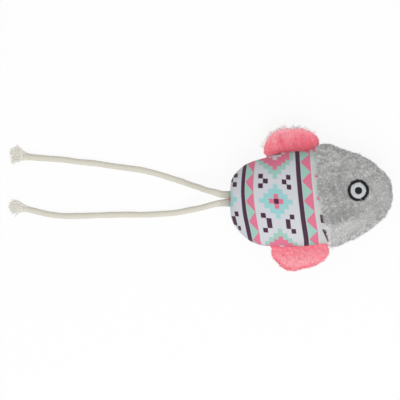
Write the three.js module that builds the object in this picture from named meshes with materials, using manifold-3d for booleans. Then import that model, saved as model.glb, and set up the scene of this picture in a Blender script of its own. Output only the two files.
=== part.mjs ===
// A stuffed cat toy that lies on its flank: a plush head, a printed cloth body, two plush ears in the
// long seams and a doubled cotton cord in the tail seam. Millimetres, +Z up, nose towards +X, origin on
// the floor below the middle of the toy.
import * as THREE from "three";
import { mergeVertices } from "three/addons/utils/BufferGeometryUtils.js";
import Module from "manifold-3d";

const wasm = await Module();
wasm.setup();

// Stuffed form
const toyLength = 97.5; // tail seam to the tip of the nose pile
const halfBreadth = 30.6; // from the middle line to the widest point of the long seam
const halfThickness = 16.8; // from the long seam to the crown of a flank
const restCut = 0.5; // depth of the flat on which the toy lies
const neckPlaceShare = 0.5754; // of the toy's length from the tail seam, on the middle line
const neckTilt = THREE.MathUtils.degToRad(7.3);

// Cloth, plush and seams
const clothThickness = 1.2;
const backingThickness = 1.0;
const pileHeight = 1.6;
const seamAllowance = 4.0;
const seamGap = 0.3; // left between any two pieces that touch
const overrun = 5.0; // how far a cut runs past what it cuts

// Ears: where each root lies along the toy, how far it reaches out and how puffy it is
const earReach = 16.4;
const upperEarPuff = 4.2; // half the thickness at the fattest place
const lowerEarPuff = 3.4;
const upperRootTailShare = 0.2195; // of the toy's length, from the tail seam to the near end of the root
const upperRootLengthShare = 0.3026;
const lowerRootTailShare = 0.2431;
const lowerRootLengthShare = 0.358;
const earBacking = 0.8; // both layers of an ear where they are caught in the long seam
const foldClearance = 0.5; // from the long seam out to the line on which an ear folds
const sewnEdgeInset = 2.5; // from the end of an ear's root to the end of its edge in the seam

// Embroidered eyes
const eyePlaceShare = 0.7856; // of the toy's length, from the tail seam to the middle of the eye
const eyeSide = 4.0; // above the middle line
const outlineRadius = 6.3;
const outlineWidth = 1.4;
const pupilRadius = 2.0;
const stitchRise = 0.5; // above the pile
const stitchSink = 0.5; // into the pile

// Filling and catnip pouch
const pouchLengthShare = 0.308; // of the toy's length
const pouchWidth = 22;
const pouchHeight = 8;
const pouchHem = 2.5;
const pouchHemThickness = 0.9;
const pouchPlaceShare = 0.4; // of the toy's length, from the tail seam to the middle of the pouch

// Doubled cord
const cordDiameter = 3.5;
const foldDepth = 9.0; // how far the doubled cord reaches into the body
const strandRadius = 0.55;
const strandSpread = 0.6; // from the middle of the cord to where a strand starts
const frayCore = 2.5; // length over which the frayed strands still lie together

// Stations of the form from tail to nose: along the cloth's length, upper edge and lower edge of the
// long seam over half the breadth, crown over half the thickness.
const formShares = [
  [0, -0.03, -0.03, 0],
  [0.0026, 0.196, -0.26, 0.24],
  [0.0075, 0.38, -0.455, 0.4],
  [0.0313, 0.51, -0.608, 0.6],
  [0.0813, 0.627, -0.765, 0.765],
  [0.1314, 0.706, -0.87, 0.86],
  [0.2065, 0.765, -0.941, 0.94],
  [0.3379, 0.863, -0.993, 0.995],
  [0.4317, 0.912, -0.993, 1.0],
  [0.5318, 0.955, -0.957, 0.96],
  [0.5813, 0.965, -0.935, 0.915],
  [0.6335, 0.945, -0.925, 0.91],
  [0.6818, 0.905, -0.886, 0.895],
  [0.7821, 0.807, -0.745, 0.8],
  [0.8822, 0.644, -0.542, 0.625],
  [0.9322, 0.497, -0.376, 0.48],
  [0.9708, 0.366, -0.196, 0.33],
  [0.9906, 0.235, -0.059, 0.19],
  [1, 0.088, 0.088, 0],
];

// Counts of facets: a face that shows, a face inside the toy, and the smaller pieces.
const outside = { sides: 24, stepsPerStation: 2 };
const inside = { sides: 16, stepsPerStation: 1 };
const eyeSides = 28;
const sewnEdgeSteps = 8;
const pillowFacets = [20, 12];
const bendSteps = 6;
const foldSteps = 22;
const cordSteps = 34;
const strandSteps = 4;
const cordHalfSides = 4;
const strandHalfSides = 3;

// Outlines of the ears from one end of the root to the other: along the root, out over the reach.
const upperEarShares = [
  [0, 0],
  [-0.046, 0.13],
  [-0.021, 0.486],
  [0.089, 0.794],
  [0.259, 0.973],
  [0.491, 0.99],
  [0.708, 0.84],
  [0.87, 0.648],
  [1.01, 0.42],
  [1.04, 0.2],
  [1, 0],
];
const lowerEarShares = [
  [0, 0],
  [0.01, 0.2],
  [0.032, 0.37],
  [0.105, 0.568],
  [0.175, 0.648],
  [0.314, 0.77],
  [0.451, 0.84],
  [0.59, 0.9],
  [0.724, 0.87],
  [0.856, 0.705],
  [0.921, 0.58],
  [0.992, 0.35],
  [1, 0],
];
const rootTaperShare = 1.3; // how slowly an ear swells from its root: 1 is a straight wedge
const earSteps = 7; // from the root to the outer edge
const earStepsPerPoint = 2;

// Routes of the two free cords: behind the tail seam, across the toy, above the floor.
const upperCordRoute = [
  [0.6, 1.8, 16.3],
  [5.4, 2.1, 16.1],
  [10.2, 3, 14.6],
  [15, 4.2, 11.7],
  [19.8, 6, 8.4],
  [24.6, 7.5, 5.3],
  [29.4, 9.3, 3.1],
  [34.2, 10.8, 2.1],
  [43.8, 13.8, 1.8],
  [53.4, 16.2, 1.8],
  [63, 18, 1.8],
  [72.6, 19.2, 1.8],
  [82.2, 20.4, 1.8],
  [91.8, 21.3, 1.8],
  [101.4, 22.8, 1.8],
  [111, 23.7, 1.8],
  [120.6, 24.6, 1.8],
  [125.4, 24.9, 1.8],
];
const lowerCordRoute = [
  [0.6, -3.9, 16.3],
  [5.4, -3.7, 16.1],
  [10.2, -4.4, 14.6],
  [15, -5.7, 11.7],
  [19.8, -6.9, 8.4],
  [24.6, -7.8, 5.3],
  [29.4, -8.8, 3.1],
  [34.2, -9.6, 2.1],
  [43.8, -10.3, 1.8],
  [53.4, -10.7, 1.8],
  [63, -10.6, 1.8],
  [72.6, -10.8, 1.8],
  [82.2, -11.1, 1.8],
  [91.8, -11.4, 1.8],
  [101.4, -11.1, 1.8],
  [111, -9.6, 1.8],
  [120.6, -7.2, 1.8],
  [125.4, -6.3, 1.8],
];

// Tips of the frayed strands, from the end of each cord: onwards, across, up.
const upperFrayTips = [
  [6.2, 0.4, 0.9],
  [4.9, 5.6, 0.3],
  [6.4, 3.2, -0.4],
  [6.6, -1.5, -0.9],
  [5, -3.2, 0.5],
  [3.4, -3.9, -0.6],
  [5.4, 1.6, -1],
];
const lowerFrayTips = [
  [8, 0.4, 0.4],
  [7.5, 2.4, -0.8],
  [5.4, 4, 0.2],
  [7.8, -1.5, 0.9],
  [6.5, -3.1, -0.5],
  [5, -4, 0.3],
  [6, 1.2, -1],
];

const tailX = -toyLength / 2;
const neckPlace = neckPlaceShare * toyLength;
const eyePlace = eyePlaceShare * toyLength;
const pouchPlace = pouchPlaceShare * toyLength;
const pouchLength = pouchLengthShare * toyLength;
const far = 2 * toyLength; // further than any piece reaches
const clothLength = toyLength - pileHeight;
const seamHeight = halfThickness - restCut;
const cordRadius = cordDiameter / 2;
const up = new THREE.Vector3(0, 0, 1);

// A closed geometry as a solid that can be joined and cut.
function solidOf(geometry) {
  const bare = geometry.clone();
  bare.deleteAttribute("normal");
  bare.deleteAttribute("uv");
  const merged = mergeVertices(bare);
  const mesh = new wasm.Mesh({
    numProp: 3,
    vertProperties: new Float32Array(merged.getAttribute("position").array),
    triVerts: new Uint32Array(merged.index.array),
  });
  return new wasm.Manifold(mesh);
}

function geometryOf(solid) {
  const mesh = solid.getMesh();
  const geometry = new THREE.BufferGeometry();
  geometry.setAttribute("position", new THREE.BufferAttribute(mesh.vertProperties, mesh.numProp));
  geometry.setIndex(new THREE.BufferAttribute(mesh.triVerts, 1));
  const faceted = geometry.toNonIndexed();
  faceted.computeVertexNormals();
  return faceted;
}

// The slab between two distances along a direction from a point.
function slab(point, direction, from, to) {
  const box = new THREE.BoxGeometry(to - from, 2 * far, 2 * far);
  box.translate((from + to) / 2, 0, 0);
  const turn = new THREE.Quaternion().setFromUnitVectors(new THREE.Vector3(1, 0, 0), direction);
  box.applyQuaternion(turn);
  box.translate(point.x, point.y, point.z);
  return solidOf(box);
}

// A closed skin over rings of points, with a pole at each end. The rings follow each other so that
// the points of each run anticlockwise when the next ring lies towards the viewer.
function closedSkin(rings, startPole, endPole) {
  const sides = rings[0].length;
  const points = [startPole, ...rings.flat(), endPole];
  const endIndex = points.length - 1;
  const place = (ring, side) => 1 + ring * sides + (side % sides);
  const index = [];
  for (let side = 0; side < sides; side++) {
    index.push(0, place(0, side + 1), place(0, side));
    for (let ring = 0; ring + 1 < rings.length; ring++) {
      const [a, b] = [place(ring, side), place(ring, side + 1)];
      const [c, d] = [place(ring + 1, side), place(ring + 1, side + 1)];
      index.push(a, b, c, b, d, c);
    }
    index.push(endIndex, place(rings.length - 1, side), place(rings.length - 1, side + 1));
  }
  const geometry = new THREE.BufferGeometry().setFromPoints(points);
  geometry.setIndex(index);
  return geometry;
}

// A smooth curve through rows of shares, read at any place between two rows.
function smoothRows(rows) {
  const width = rows[0].length;
  const places = rows.map((row, place) => place);
  return new THREE.CubicInterpolant(places, rows.flat(), width, new Float32Array(width));
}

// Sections of the stuffed form from tail to nose.
function stationsOf(facets) {
  const curve = smoothRows(formShares);
  const found = [];
  for (let step = 0; step <= (formShares.length - 1) * facets.stepsPerStation; step++) {
    const [along, upper, lower, crown] = curve.evaluate(step / facets.stepsPerStation);
    found.push({
      x: tailX + along * clothLength,
      middle: (halfBreadth * (upper + lower)) / 2,
      half: (halfBreadth * (upper - lower)) / 2,
      crown: halfThickness * crown,
    });
  }
  return found;
}
const seamStations = stationsOf(outside);

// The stuffed form with its seam plane at height 0, grown outwards or, below 0, inwards.
function stuffedForm(grow, facets = outside) {
  const stations = stationsOf(facets);
  const middleX = tailX + clothLength / 2;
  const lengthwise = 1 + grow / (clothLength / 2);
  const across = 1 + grow / halfBreadth;
  const upwards = 1 + grow / halfThickness;
  const xOf = (station) => middleX + (station.x - middleX) * lengthwise;
  const rings = stations.slice(1, -1).map((station) => {
    const ring = [];
    for (let side = 0; side < facets.sides; side++) {
      const angle = (2 * Math.PI * side) / facets.sides;
      const y = station.middle + station.half * across * Math.cos(angle);
      ring.push(new THREE.Vector3(xOf(station), y, station.crown * upwards * Math.sin(angle)));
    }
    return ring;
  });
  const [first, last] = [stations[0], stations[stations.length - 1]];
  const startPole = new THREE.Vector3(xOf(first), first.middle, 0);
  const endPole = new THREE.Vector3(xOf(last), last.middle, 0);
  return solidOf(closedSkin(rings, startPole, endPole));
}

const neckPoint = new THREE.Vector3(tailX + neckPlace, 0, 0);
const headward = new THREE.Vector3(Math.cos(neckTilt), Math.sin(neckTilt), 0);
const seamPoint = new THREE.Vector3(0, 0, 0);
const floorBelow = slab(new THREE.Vector3(0, 0, -seamHeight), up, -far, 0);

// One hollow cover of the head or the body before it is parted at the long seam: its skin, the
// allowance turned in at the long seam and the allowance turned in at the neck.
function hollowCover(outerGrow, thickness, side) {
  const near = seamGap / 2;
  const ownSide = side > 0 ? [near, far] : [-far, -near];
  const neckBand = side > 0 ? [near, near + thickness] : [-near - thickness, -near];
  const skin = stuffedForm(outerGrow).subtract(stuffedForm(-thickness, inside));
  const hemInside = stuffedForm(-thickness - seamAllowance, inside);
  const hem = stuffedForm(-thickness / 2, inside).subtract(hemInside);
  const seamBand = hem.intersect(slab(seamPoint, up, -near - thickness, near + thickness));
  const neckHem = hem.intersect(slab(neckPoint, headward, ...neckBand));
  const whole = skin.add(seamBand).add(neckHem);
  return whole.intersect(slab(neckPoint, headward, ...ownSide)).subtract(floorBelow);
}

// The edge of the long seam on one side as points of an ear's own frame.
function seamEdge(side, placement) {
  const intoFrame = placement.clone().invert();
  const edge = seamStations.map((s) => new THREE.Vector3(s.x, s.middle + side * s.half, 0));
  return edge.map((point) => point.applyMatrix4(intoFrame)).sort((a, b) => a.x - b.x);
}

function heightOn(edge, x) {
  const next = Math.max(1, edge.findIndex((point) => point.x >= x));
  const [a, b] = [edge[next - 1], edge[next]];
  return a.y + ((b.y - a.y) * (x - a.x)) / (b.x - a.x);
}

// The point of the long seam at a distance from the tail seam.
function seamPointAt(fromTail, side) {
  const edge = seamStations.map((s) => new THREE.Vector3(s.x, s.middle + side * s.half, 0));
  return new THREE.Vector3(tailX + fromTail, heightOn(edge, tailX + fromTail), 0);
}

// Everything that one ear needs: its frame on the toy, the seam in that frame and the fold line. In
// the frame, x runs along the root and y points away from the toy.
function earSetting(side, tailShare, lengthShare) {
  const nearEnd = seamPointAt(tailShare * toyLength, side);
  const farEnd = seamPointAt((tailShare + lengthShare) * toyLength, side);
  const ends = [nearEnd, farEnd];
  const [start, end] = side > 0 ? ends : ends.reverse();
  const chord = end.clone().sub(start);
  const turn = Math.atan2(chord.y, chord.x);
  const onSeam = new THREE.Matrix4().makeRotationZ(turn).setPosition(start);
  const edge = seamEdge(side, onSeam);
  const span = chord.length();
  const bulge = Math.max(0, ...edge.filter((p) => p.x > 0 && p.x < span).map((p) => p.y));
  const hinge = new THREE.Vector3(span / 2, bulge + foldClearance, 0);
  return { edge, span, turn, hinge, onSeam, place: hinge.clone().applyMatrix4(onSeam) };
}

// Puff of an ear from its root to its outer edge, 1 at the fattest place: thin at the root, so that
// it can fold there, and round at the outer edge.
function puffAt(out) {
  const fattest = (2 * rootTaperShare) / (2 * rootTaperShare + 1);
  const swell = (place) => place ** rootTaperShare * Math.sqrt(1 - place);
  return swell(out) / swell(fattest);
}

// Both layers of an ear as one lens, in the ear's frame with the fold line as its x axis.
function earLens(setting, outlineShares, puff) {
  const curve = smoothRows(outlineShares);
  const count = (outlineShares.length - 1) * earStepsPerPoint;
  const rings = [];
  for (let step = 1; step < count; step++) {
    const share = step / count;
    const [along, out] = curve.evaluate(step / earStepsPerPoint);
    const rootX = share * setting.span;
    const root = new THREE.Vector3(rootX, heightOn(setting.edge, rootX) + seamGap / 2, 0);
    const rim = new THREE.Vector3(along * setting.span, out * earReach, 0);
    const fatness = (puff * root.distanceTo(rim)) / earReach;
    const pointAt = (part, face) => {
      const point = root.clone().lerp(rim, part);
      point.z = face * fatness * puffAt(part);
      return point;
    };
    const ring = [];
    for (let k = earSteps; k >= 0; k--) ring.push(pointAt(k / earSteps, 1));
    for (let k = 1; k < earSteps; k++) ring.push(pointAt(k / earSteps, -1));
    rings.push(ring);
  }
  const rootEnd = (x) => new THREE.Vector3(x, seamGap / 2, 0);
  const skin = closedSkin(rings, rootEnd(0), rootEnd(setting.span));
  skin.translate(-setting.hinge.x, -setting.hinge.y, 0);
  return solidOf(skin);
}

// The edge of an ear that is caught between the covers, in the toy's frame, grown by a clearance.
function caughtEdge(setting, clearance, outwards) {
  const thick = earBacking / 2 + clearance;
  const rings = [];
  const start = sewnEdgeInset - clearance;
  for (let step = 0; step <= sewnEdgeSteps; step++) {
    const x = start + ((setting.span - 2 * start) * step) / sewnEdgeSteps;
    const outer = heightOn(setting.edge, x) + outwards;
    const inner = outer - outwards - seamAllowance - clearance;
    const corners = [[outer, -thick], [outer, thick], [inner, thick], [inner, -thick]];
    rings.push(corners.map(([y, z]) => new THREE.Vector3(x, y, z)));
  }
  const middleOf = (ring) => ring[0].clone().lerp(ring[2], 1 / 2);
  const skin = closedSkin(rings, middleOf(rings[0]), middleOf(rings[sewnEdgeSteps]));
  skin.applyMatrix4(setting.onSeam);
  return solidOf(skin);
}

// A round bar across the thickness of the toy at the eye, as a solid.
function eyeBar(radius) {
  const bar = new THREE.CylinderGeometry(radius, radius, far, eyeSides);
  bar.rotateX(Math.PI / 2);
  bar.translate(tailX + eyePlace, eyeSide, 0);
  return solidOf(bar);
}

// A cord along points, or a strand of one, with flat ends square to it.
function cordTube(points, radius, steps, halfSides) {
  const section = new THREE.Shape().absarc(0, 0, radius, 0, 2 * Math.PI);
  const path = new THREE.CatmullRomCurve3(points);
  return new THREE.ExtrudeGeometry(section, { steps, curveSegments: halfSides, extrudePath: path });
}

// The doubled stretch of cord inside the tail, from one exit round to the other, in the toy's frame.
function foldedStretch(radius) {
  const [upperExit, lowerExit] = [upperCordRoute[0], lowerCordRoute[0]];
  const bend = (upperExit[1] - lowerExit[1]) / 2;
  const middle = (upperExit[1] + lowerExit[1]) / 2;
  const mouth = tailX - upperExit[0] + seamGap;
  const turnX = tailX + foldDepth - bend - cordRadius;
  const points = [new THREE.Vector3(mouth, middle + bend, 0)];
  for (let step = 0; step <= bendSteps; step++) {
    const angle = Math.PI / 2 - (Math.PI * step) / bendSteps;
    points.push(new THREE.Vector3(turnX + bend * Math.cos(angle), middle + bend * Math.sin(angle), 0));
  }
  points.push(new THREE.Vector3(mouth, middle - bend, 0));
  return solidOf(cordTube(points, radius, foldSteps, cordHalfSides));
}

function routePoints(route) {
  return route.map(([behind, across, above]) => new THREE.Vector3(tailX - behind, across, above));
}

// The frayed end of a cord: a short core and the strands that spread from it.
function frayedEnd(route, tips) {
  const points = routePoints(route);
  const end = points[points.length - 1];
  const onwards = end.clone().sub(points[points.length - 2]).normalize();
  const start = end.clone().addScaledVector(onwards, seamGap);
  const core = [start, start.clone().addScaledVector(onwards, frayCore)];
  let tuft = solidOf(cordTube(core, cordRadius - strandRadius / 2, 1, cordHalfSides));
  for (const [further, across, above] of tips) {
    const lean = new THREE.Vector3(0, across, above).normalize();
    const root = start.clone().addScaledVector(onwards, frayCore / 2);
    root.addScaledVector(lean, strandSpread);
    const tip = start.clone().add(new THREE.Vector3(-further, across, above));
    const waist = root.clone().lerp(tip, 1 / 2).addScaledVector(onwards, strandRadius);
    const strand = cordTube([root, waist, tip], strandRadius, strandSteps, strandHalfSides);
    tuft = tuft.add(solidOf(strand));
  }
  return tuft;
}

const plushGrey = { color: 0xa6a6a5, roughness: 1, metalness: 0 };
const plushPink = { color: 0xf2858f, roughness: 1, metalness: 0 };
const printedCloth = { color: 0xc7cbd3, roughness: 0.85, metalness: 0 };
const darkThread = { color: 0x1d1f23, roughness: 0.6, metalness: 0 };
const whiteThread = { color: 0xd6d9da, roughness: 0.6, metalness: 0 };
const cotton = { color: 0xd4cfc2, roughness: 0.95, metalness: 0 };
const fibre = { color: 0xeeeeea, roughness: 1, metalness: 0 };
const sachet = { color: 0xdfe0d2, roughness: 0.9, metalness: 0 };

function addPiece(group, name, solidOrGeometry, finish) {
  const geometry = solidOrGeometry.isBufferGeometry ? solidOrGeometry : geometryOf(solidOrGeometry);
  const mesh = new THREE.Mesh(geometry, new THREE.MeshStandardMaterial(finish));
  mesh.name = name;
  group.add(mesh);
}

const part = new THREE.Group();
const toy = new THREE.Group(); // everything that is measured from the plane of the long seam
toy.position.z = seamHeight;
part.add(toy);

const upperSetting = earSetting(1, upperRootTailShare, upperRootLengthShare);
const lowerSetting = earSetting(-1, lowerRootTailShare, lowerRootLengthShare);

// Head and body covers, parted at the long seam and cut for what is caught in it.
const stitchDepth = stuffedForm(pileHeight + far).subtract(stuffedForm(pileHeight - stitchSink - seamGap));
const eyeRecess = eyeBar(outlineRadius + seamGap).intersect(stitchDepth);
const headCover = hollowCover(pileHeight, backingThickness, 1).subtract(eyeRecess);
const bodyCover = hollowCover(0, clothThickness, -1)
  .subtract(caughtEdge(upperSetting, seamGap, overrun))
  .subtract(caughtEdge(lowerSetting, seamGap, overrun))
  .subtract(foldedStretch(cordRadius + seamGap));
const above = slab(seamPoint, up, seamGap / 2, far);
const below = slab(seamPoint, up, -far, -seamGap / 2);
addPiece(toy, "head_cover_upper", headCover.intersect(above), plushGrey);
addPiece(toy, "head_cover_lower", headCover.intersect(below), plushGrey);
addPiece(toy, "body_cover_upper", bodyCover.intersect(above), printedCloth);
addPiece(toy, "body_cover_lower", bodyCover.intersect(below), printedCloth);

// Ears: each hangs in a group whose x axis is its fold line.
function addEar(name, setting, outlineShares, puff) {
  const ear = new THREE.Group();
  ear.position.copy(setting.place);
  ear.rotation.z = setting.turn;
  toy.add(ear);
  const lens = earLens(setting, outlineShares, puff);
  addPiece(ear, name + "_top_layer", lens.intersect(above), plushPink);
  addPiece(ear, name + "_under_layer", lens.intersect(below), plushPink);
  addPiece(toy, name + "_sewn_edge", caughtEdge(setting, 0, 0), plushPink);
}
addEar("ear_upper", upperSetting, upperEarShares, upperEarPuff);
addEar("ear_lower", lowerSetting, lowerEarShares, lowerEarPuff);

// Eyes: fields of stitching that lie in the pile of both flanks.
const stitched = stuffedForm(pileHeight + stitchRise).subtract(stuffedForm(pileHeight - stitchSink));
const outlineInside = outlineRadius - outlineWidth;
const outline = eyeBar(outlineRadius).subtract(eyeBar(outlineInside)).intersect(stitched);
const white = eyeBar(outlineInside - seamGap).subtract(eyeBar(pupilRadius + seamGap)).intersect(stitched);
const pupil = eyeBar(pupilRadius).intersect(stitched);
for (const [flank, half] of [["upper", above], ["lower", below]]) {
  addPiece(toy, "eye_" + flank + "_outline", outline.intersect(half), darkThread);
  addPiece(toy, "eye_" + flank + "_white", white.intersect(half), whiteThread);
  addPiece(toy, "eye_" + flank + "_pupil", pupil.intersect(half), darkThread);
}

// Catnip pouch: a pillow with a flat sewn hem, in a pocket of the body filling that the head filling
// closes.
function pouchSolid(clearance) {
  const pillow = new THREE.SphereGeometry(1, ...pillowFacets);
  const length = pouchLength / 2 + clearance;
  const width = pouchWidth / 2 + clearance;
  pillow.scale(length - pouchHem, width - pouchHem, pouchHeight / 2 + clearance);
  const hem = new THREE.BoxGeometry(2 * length, 2 * width, pouchHemThickness + 2 * clearance);
  const pouch = solidOf(pillow).add(solidOf(hem));
  return pouch.translate([tailX + pouchPlace, 0, 0]);
}
const mouthLength = 2 * (neckPlace - pouchPlace);
const pouchMouth = new THREE.BoxGeometry(mouthLength, pouchWidth + 2 * seamGap, pouchHeight + 2 * seamGap);
pouchMouth.translate(tailX + pouchPlace + mouthLength / 2, 0, 0);
const pocket = pouchSolid(seamGap).add(solidOf(pouchMouth));

// Fillings: what the covers enclose, less the allowances, the pocket and the doubled cord.
function fillingOf(thickness, side) {
  const depth = thickness + seamGap;
  const kept = side > 0 ? [seamGap / 2, far] : [-far, -seamGap / 2];
  const hem = stuffedForm(0).subtract(stuffedForm(-depth - seamAllowance, inside));
  const band = depth + seamGap / 2;
  const hems = hem
    .intersect(slab(seamPoint, up, -band, band))
    .add(hem.intersect(slab(neckPoint, headward, -band, band)));
  return stuffedForm(-depth, inside)
    .subtract(hems)
    .intersect(slab(neckPoint, headward, ...kept));
}
const foldPassage = foldedStretch(cordRadius + seamGap);
addPiece(toy, "head_filling", fillingOf(backingThickness, 1), fibre);
addPiece(toy, "body_filling", fillingOf(clothThickness, -1).subtract(pocket).subtract(foldPassage), fibre);
addPiece(toy, "catnip_pouch", pouchSolid(0), sachet);

// Tail: the doubled stretch in the seam, the two free cords on the floor and their frayed ends.
addPiece(toy, "tail_cord_fold", foldedStretch(cordRadius), cotton);
for (const [flank, route, tips] of [
  ["upper", upperCordRoute, upperFrayTips],
  ["lower", lowerCordRoute, lowerFrayTips],
]) {
  const cord = cordTube(routePoints(route), cordRadius, cordSteps, cordHalfSides);
  addPiece(part, "tail_cord_" + flank, cord, cotton);
  addPiece(part, "tail_fray_" + flank, frayedEnd(route, tips), cotton);
}

// The origin lies below the middle of the toy, its free cords left out.
const middle = new THREE.Box3().setFromObject(toy, true).getCenter(new THREE.Vector3());
for (const child of part.children) {
  child.position.x -= middle.x;
  child.position.y -= middle.y;
}

export default part;
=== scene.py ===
"""Looks of a stuffed cat toy: plush head and ears, printed body, embroidered eyes, cord tail.

Sizes are millimetres in the toy's own frame, whose height 0 is the plane of the long seam, and turn
into metres of the row frame when a mesh is made.
"""

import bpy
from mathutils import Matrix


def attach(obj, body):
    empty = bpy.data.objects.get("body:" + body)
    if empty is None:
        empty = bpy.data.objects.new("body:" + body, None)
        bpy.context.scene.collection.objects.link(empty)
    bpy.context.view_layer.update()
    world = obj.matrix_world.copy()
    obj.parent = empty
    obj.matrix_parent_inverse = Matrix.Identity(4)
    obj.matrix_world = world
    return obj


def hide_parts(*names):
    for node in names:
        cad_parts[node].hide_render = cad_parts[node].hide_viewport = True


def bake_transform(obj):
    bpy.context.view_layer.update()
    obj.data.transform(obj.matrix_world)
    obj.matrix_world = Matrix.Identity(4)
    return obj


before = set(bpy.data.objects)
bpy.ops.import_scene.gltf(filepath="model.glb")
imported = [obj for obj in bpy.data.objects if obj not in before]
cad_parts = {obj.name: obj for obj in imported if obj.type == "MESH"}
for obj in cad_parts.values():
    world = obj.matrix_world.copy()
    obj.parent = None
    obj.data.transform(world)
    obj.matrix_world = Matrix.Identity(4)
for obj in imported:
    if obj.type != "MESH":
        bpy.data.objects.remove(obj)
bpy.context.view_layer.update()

import logging
import math
from dataclasses import dataclass, field
from enum import Enum

import bmesh
import bpy
import numpy as np
from bpy.types import Material, Node, NodeSocket, NodeTree, Object
from mathutils import Vector

logging.basicConfig(level=logging.INFO, format="%(message)s")
log = logging.getLogger("toy")

MM = 0.001
TAIL_X = -48.75  # tail seam, in the toy's frame
SEAM_HEIGHT = 16.3  # plane of the long seam above the floor
FLOOR = -SEAM_HEIGHT + 0.02  # lowest height of a cover, just over the floor
MIX_FROM, MIX_TO, MIXED = 6, 7, 2  # inputs and output of a mix of colours
MIDDLE = (0.1667, 0.6781)  # from the toy's frame to the row frame

Points = np.ndarray
Colour = tuple[float, float, float, float]


class Flank(Enum):
    """One of the two flat sides of the toy; the value is the sign of its height."""

    UPPER = 1
    LOWER = -1


class Edge(Enum):
    """One of the two long edges, each with an ear; the value is the sign of its Y."""

    UPPER = 1
    LOWER = -1


def hex_to_linear(text: str) -> Colour:
    """Turns an sRGB hex value into linear colour.

    Args:
        text: six hex digits after a hash.

    Returns:
        Linear red, green, blue and an alpha of 1.
    """
    shares = [int(text[i : i + 2], 16) / 255 for i in (1, 3, 5)]
    return (*[s / 12.92 if s <= 0.04045 else ((s + 0.055) / 1.055) ** 2.4 for s in shares], 1.0)


def add_node(tree: NodeTree, kind: str, settings: dict, *links: object) -> Node:
    """Adds a node with its settings and links.

    Args:
        tree: the node tree.
        kind: Blender's name of the node.
        settings: properties of the node, or values of its inputs by name.
        links: what goes into its inputs in order, sockets or values; a pair of an input's name or
            number and a socket or value goes into that input.

    Returns:
        The new node.
    """
    node = tree.nodes.new(kind)
    for name, value in settings.items():
        if hasattr(node, name):
            setattr(node, name, value)
        else:
            node.inputs[name].default_value = value
    for place, source in enumerate(links):
        target = place
        if isinstance(source, tuple):
            target, source = source
        if isinstance(source, NodeSocket):
            tree.links.new(source, node.inputs[target])
        else:
            node.inputs[target].default_value = source
    return node


def find_node(tree: NodeTree, kind: str) -> Node:
    """The first node of a type in a tree."""
    return next(node for node in tree.nodes if node.type == kind)


def new_material(name: str) -> tuple[Material, NodeTree, Node]:
    """Starts a material with one Principled shader.

    Args:
        name: its name.

    Returns:
        The material, its node tree and the shader.
    """
    material = bpy.data.materials.new(name)
    material.use_nodes = True
    tree = material.node_tree
    return material, tree, find_node(tree, "BSDF_PRINCIPLED")


def work_out(tree: NodeTree, known: dict, steps: tuple) -> dict:
    """Adds a chain of arithmetic, one step after another.

    Args:
        tree: the node tree.
        known: sockets by name.
        steps: rows of a result's name, an operation and its operands, each a name or a number.

    Returns:
        The sockets of all steps by name, and the known ones.
    """
    found = dict(known)
    for name, operation, *operands in steps:
        links = [found.get(x, x) if isinstance(x, str) else x for x in operands]
        found[name] = add_node(tree, "ShaderNodeMath", {"operation": operation}, *links).outputs[0]
    return found


def any_of(name: str, *tests: tuple) -> list:
    """Steps for a signal that is 1 where one of some values is close to its target.

    Args:
        name: of the signal.
        tests: rows of a value's name, its target and how close it has to be.

    Returns:
        Rows for work_out.
    """
    steps = [(name, "COMPARE", *tests[0])]
    for test in tests[1:]:
        steps += [("other", "COMPARE", *test), (name, "ADD", name, "other")]
    return steps


def off_either(name: str, value: str, under: float, over: float) -> list:
    """Steps for how far a value is from the nearer of two targets, one on each side of 0.

    Args:
        name: of the distance.
        value: the value's name.
        under: how far the one target is below 0.
        over: how far the other is above it.

    Returns:
        Rows for work_out.
    """
    return [
        ("from_under", "ADD", value, under),
        ("from_over", "SUBTRACT", value, over),
        ("under_off", "ABSOLUTE", "from_under"),
        ("over_off", "ABSOLUTE", "from_over"),
        (name, "MINIMUM", "under_off", "over_off"),
    ]


def let_light_through(tree: NodeTree, shader: Node, share: float) -> None:
    """Makes fine fibres pass part of the light on to the ones below them.

    Args:
        tree: the material's node tree.
        shader: its shader.
        share: of the light that goes through.
    """
    rays = add_node(tree, "ShaderNodeLightPath", {}).outputs
    clear = add_node(tree, "ShaderNodeBsdfTransparent", {})
    thin = add_node(tree, "ShaderNodeMixShader", {}, share, shader.outputs[0], clear.outputs[0])
    shown = shader.outputs[0]
    for ray in ("Is Shadow Ray", "Is Diffuse Ray"):
        mixed = add_node(tree, "ShaderNodeMixShader", {}, rays[ray], shown, thin.outputs[0])
        shown = mixed.outputs[0]
    tree.links.new(shown, find_node(tree, "OUTPUT_MATERIAL").inputs[0])


# The print's motifs, as steps for work_out: a result's name, an operation and its operands

# Stepped diamond in the middle of a band, with a plus inside
DIAMOND = (
    ("steps_off", "ADD", "column", "line_off"),
    ("diamond", "LESS_THAN", "steps_off", 3.5),
    ("plus", "LESS_THAN", "steps_off", 1.5),
    ("heart", "LESS_THAN", "steps_off", 0.5),
)

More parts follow.
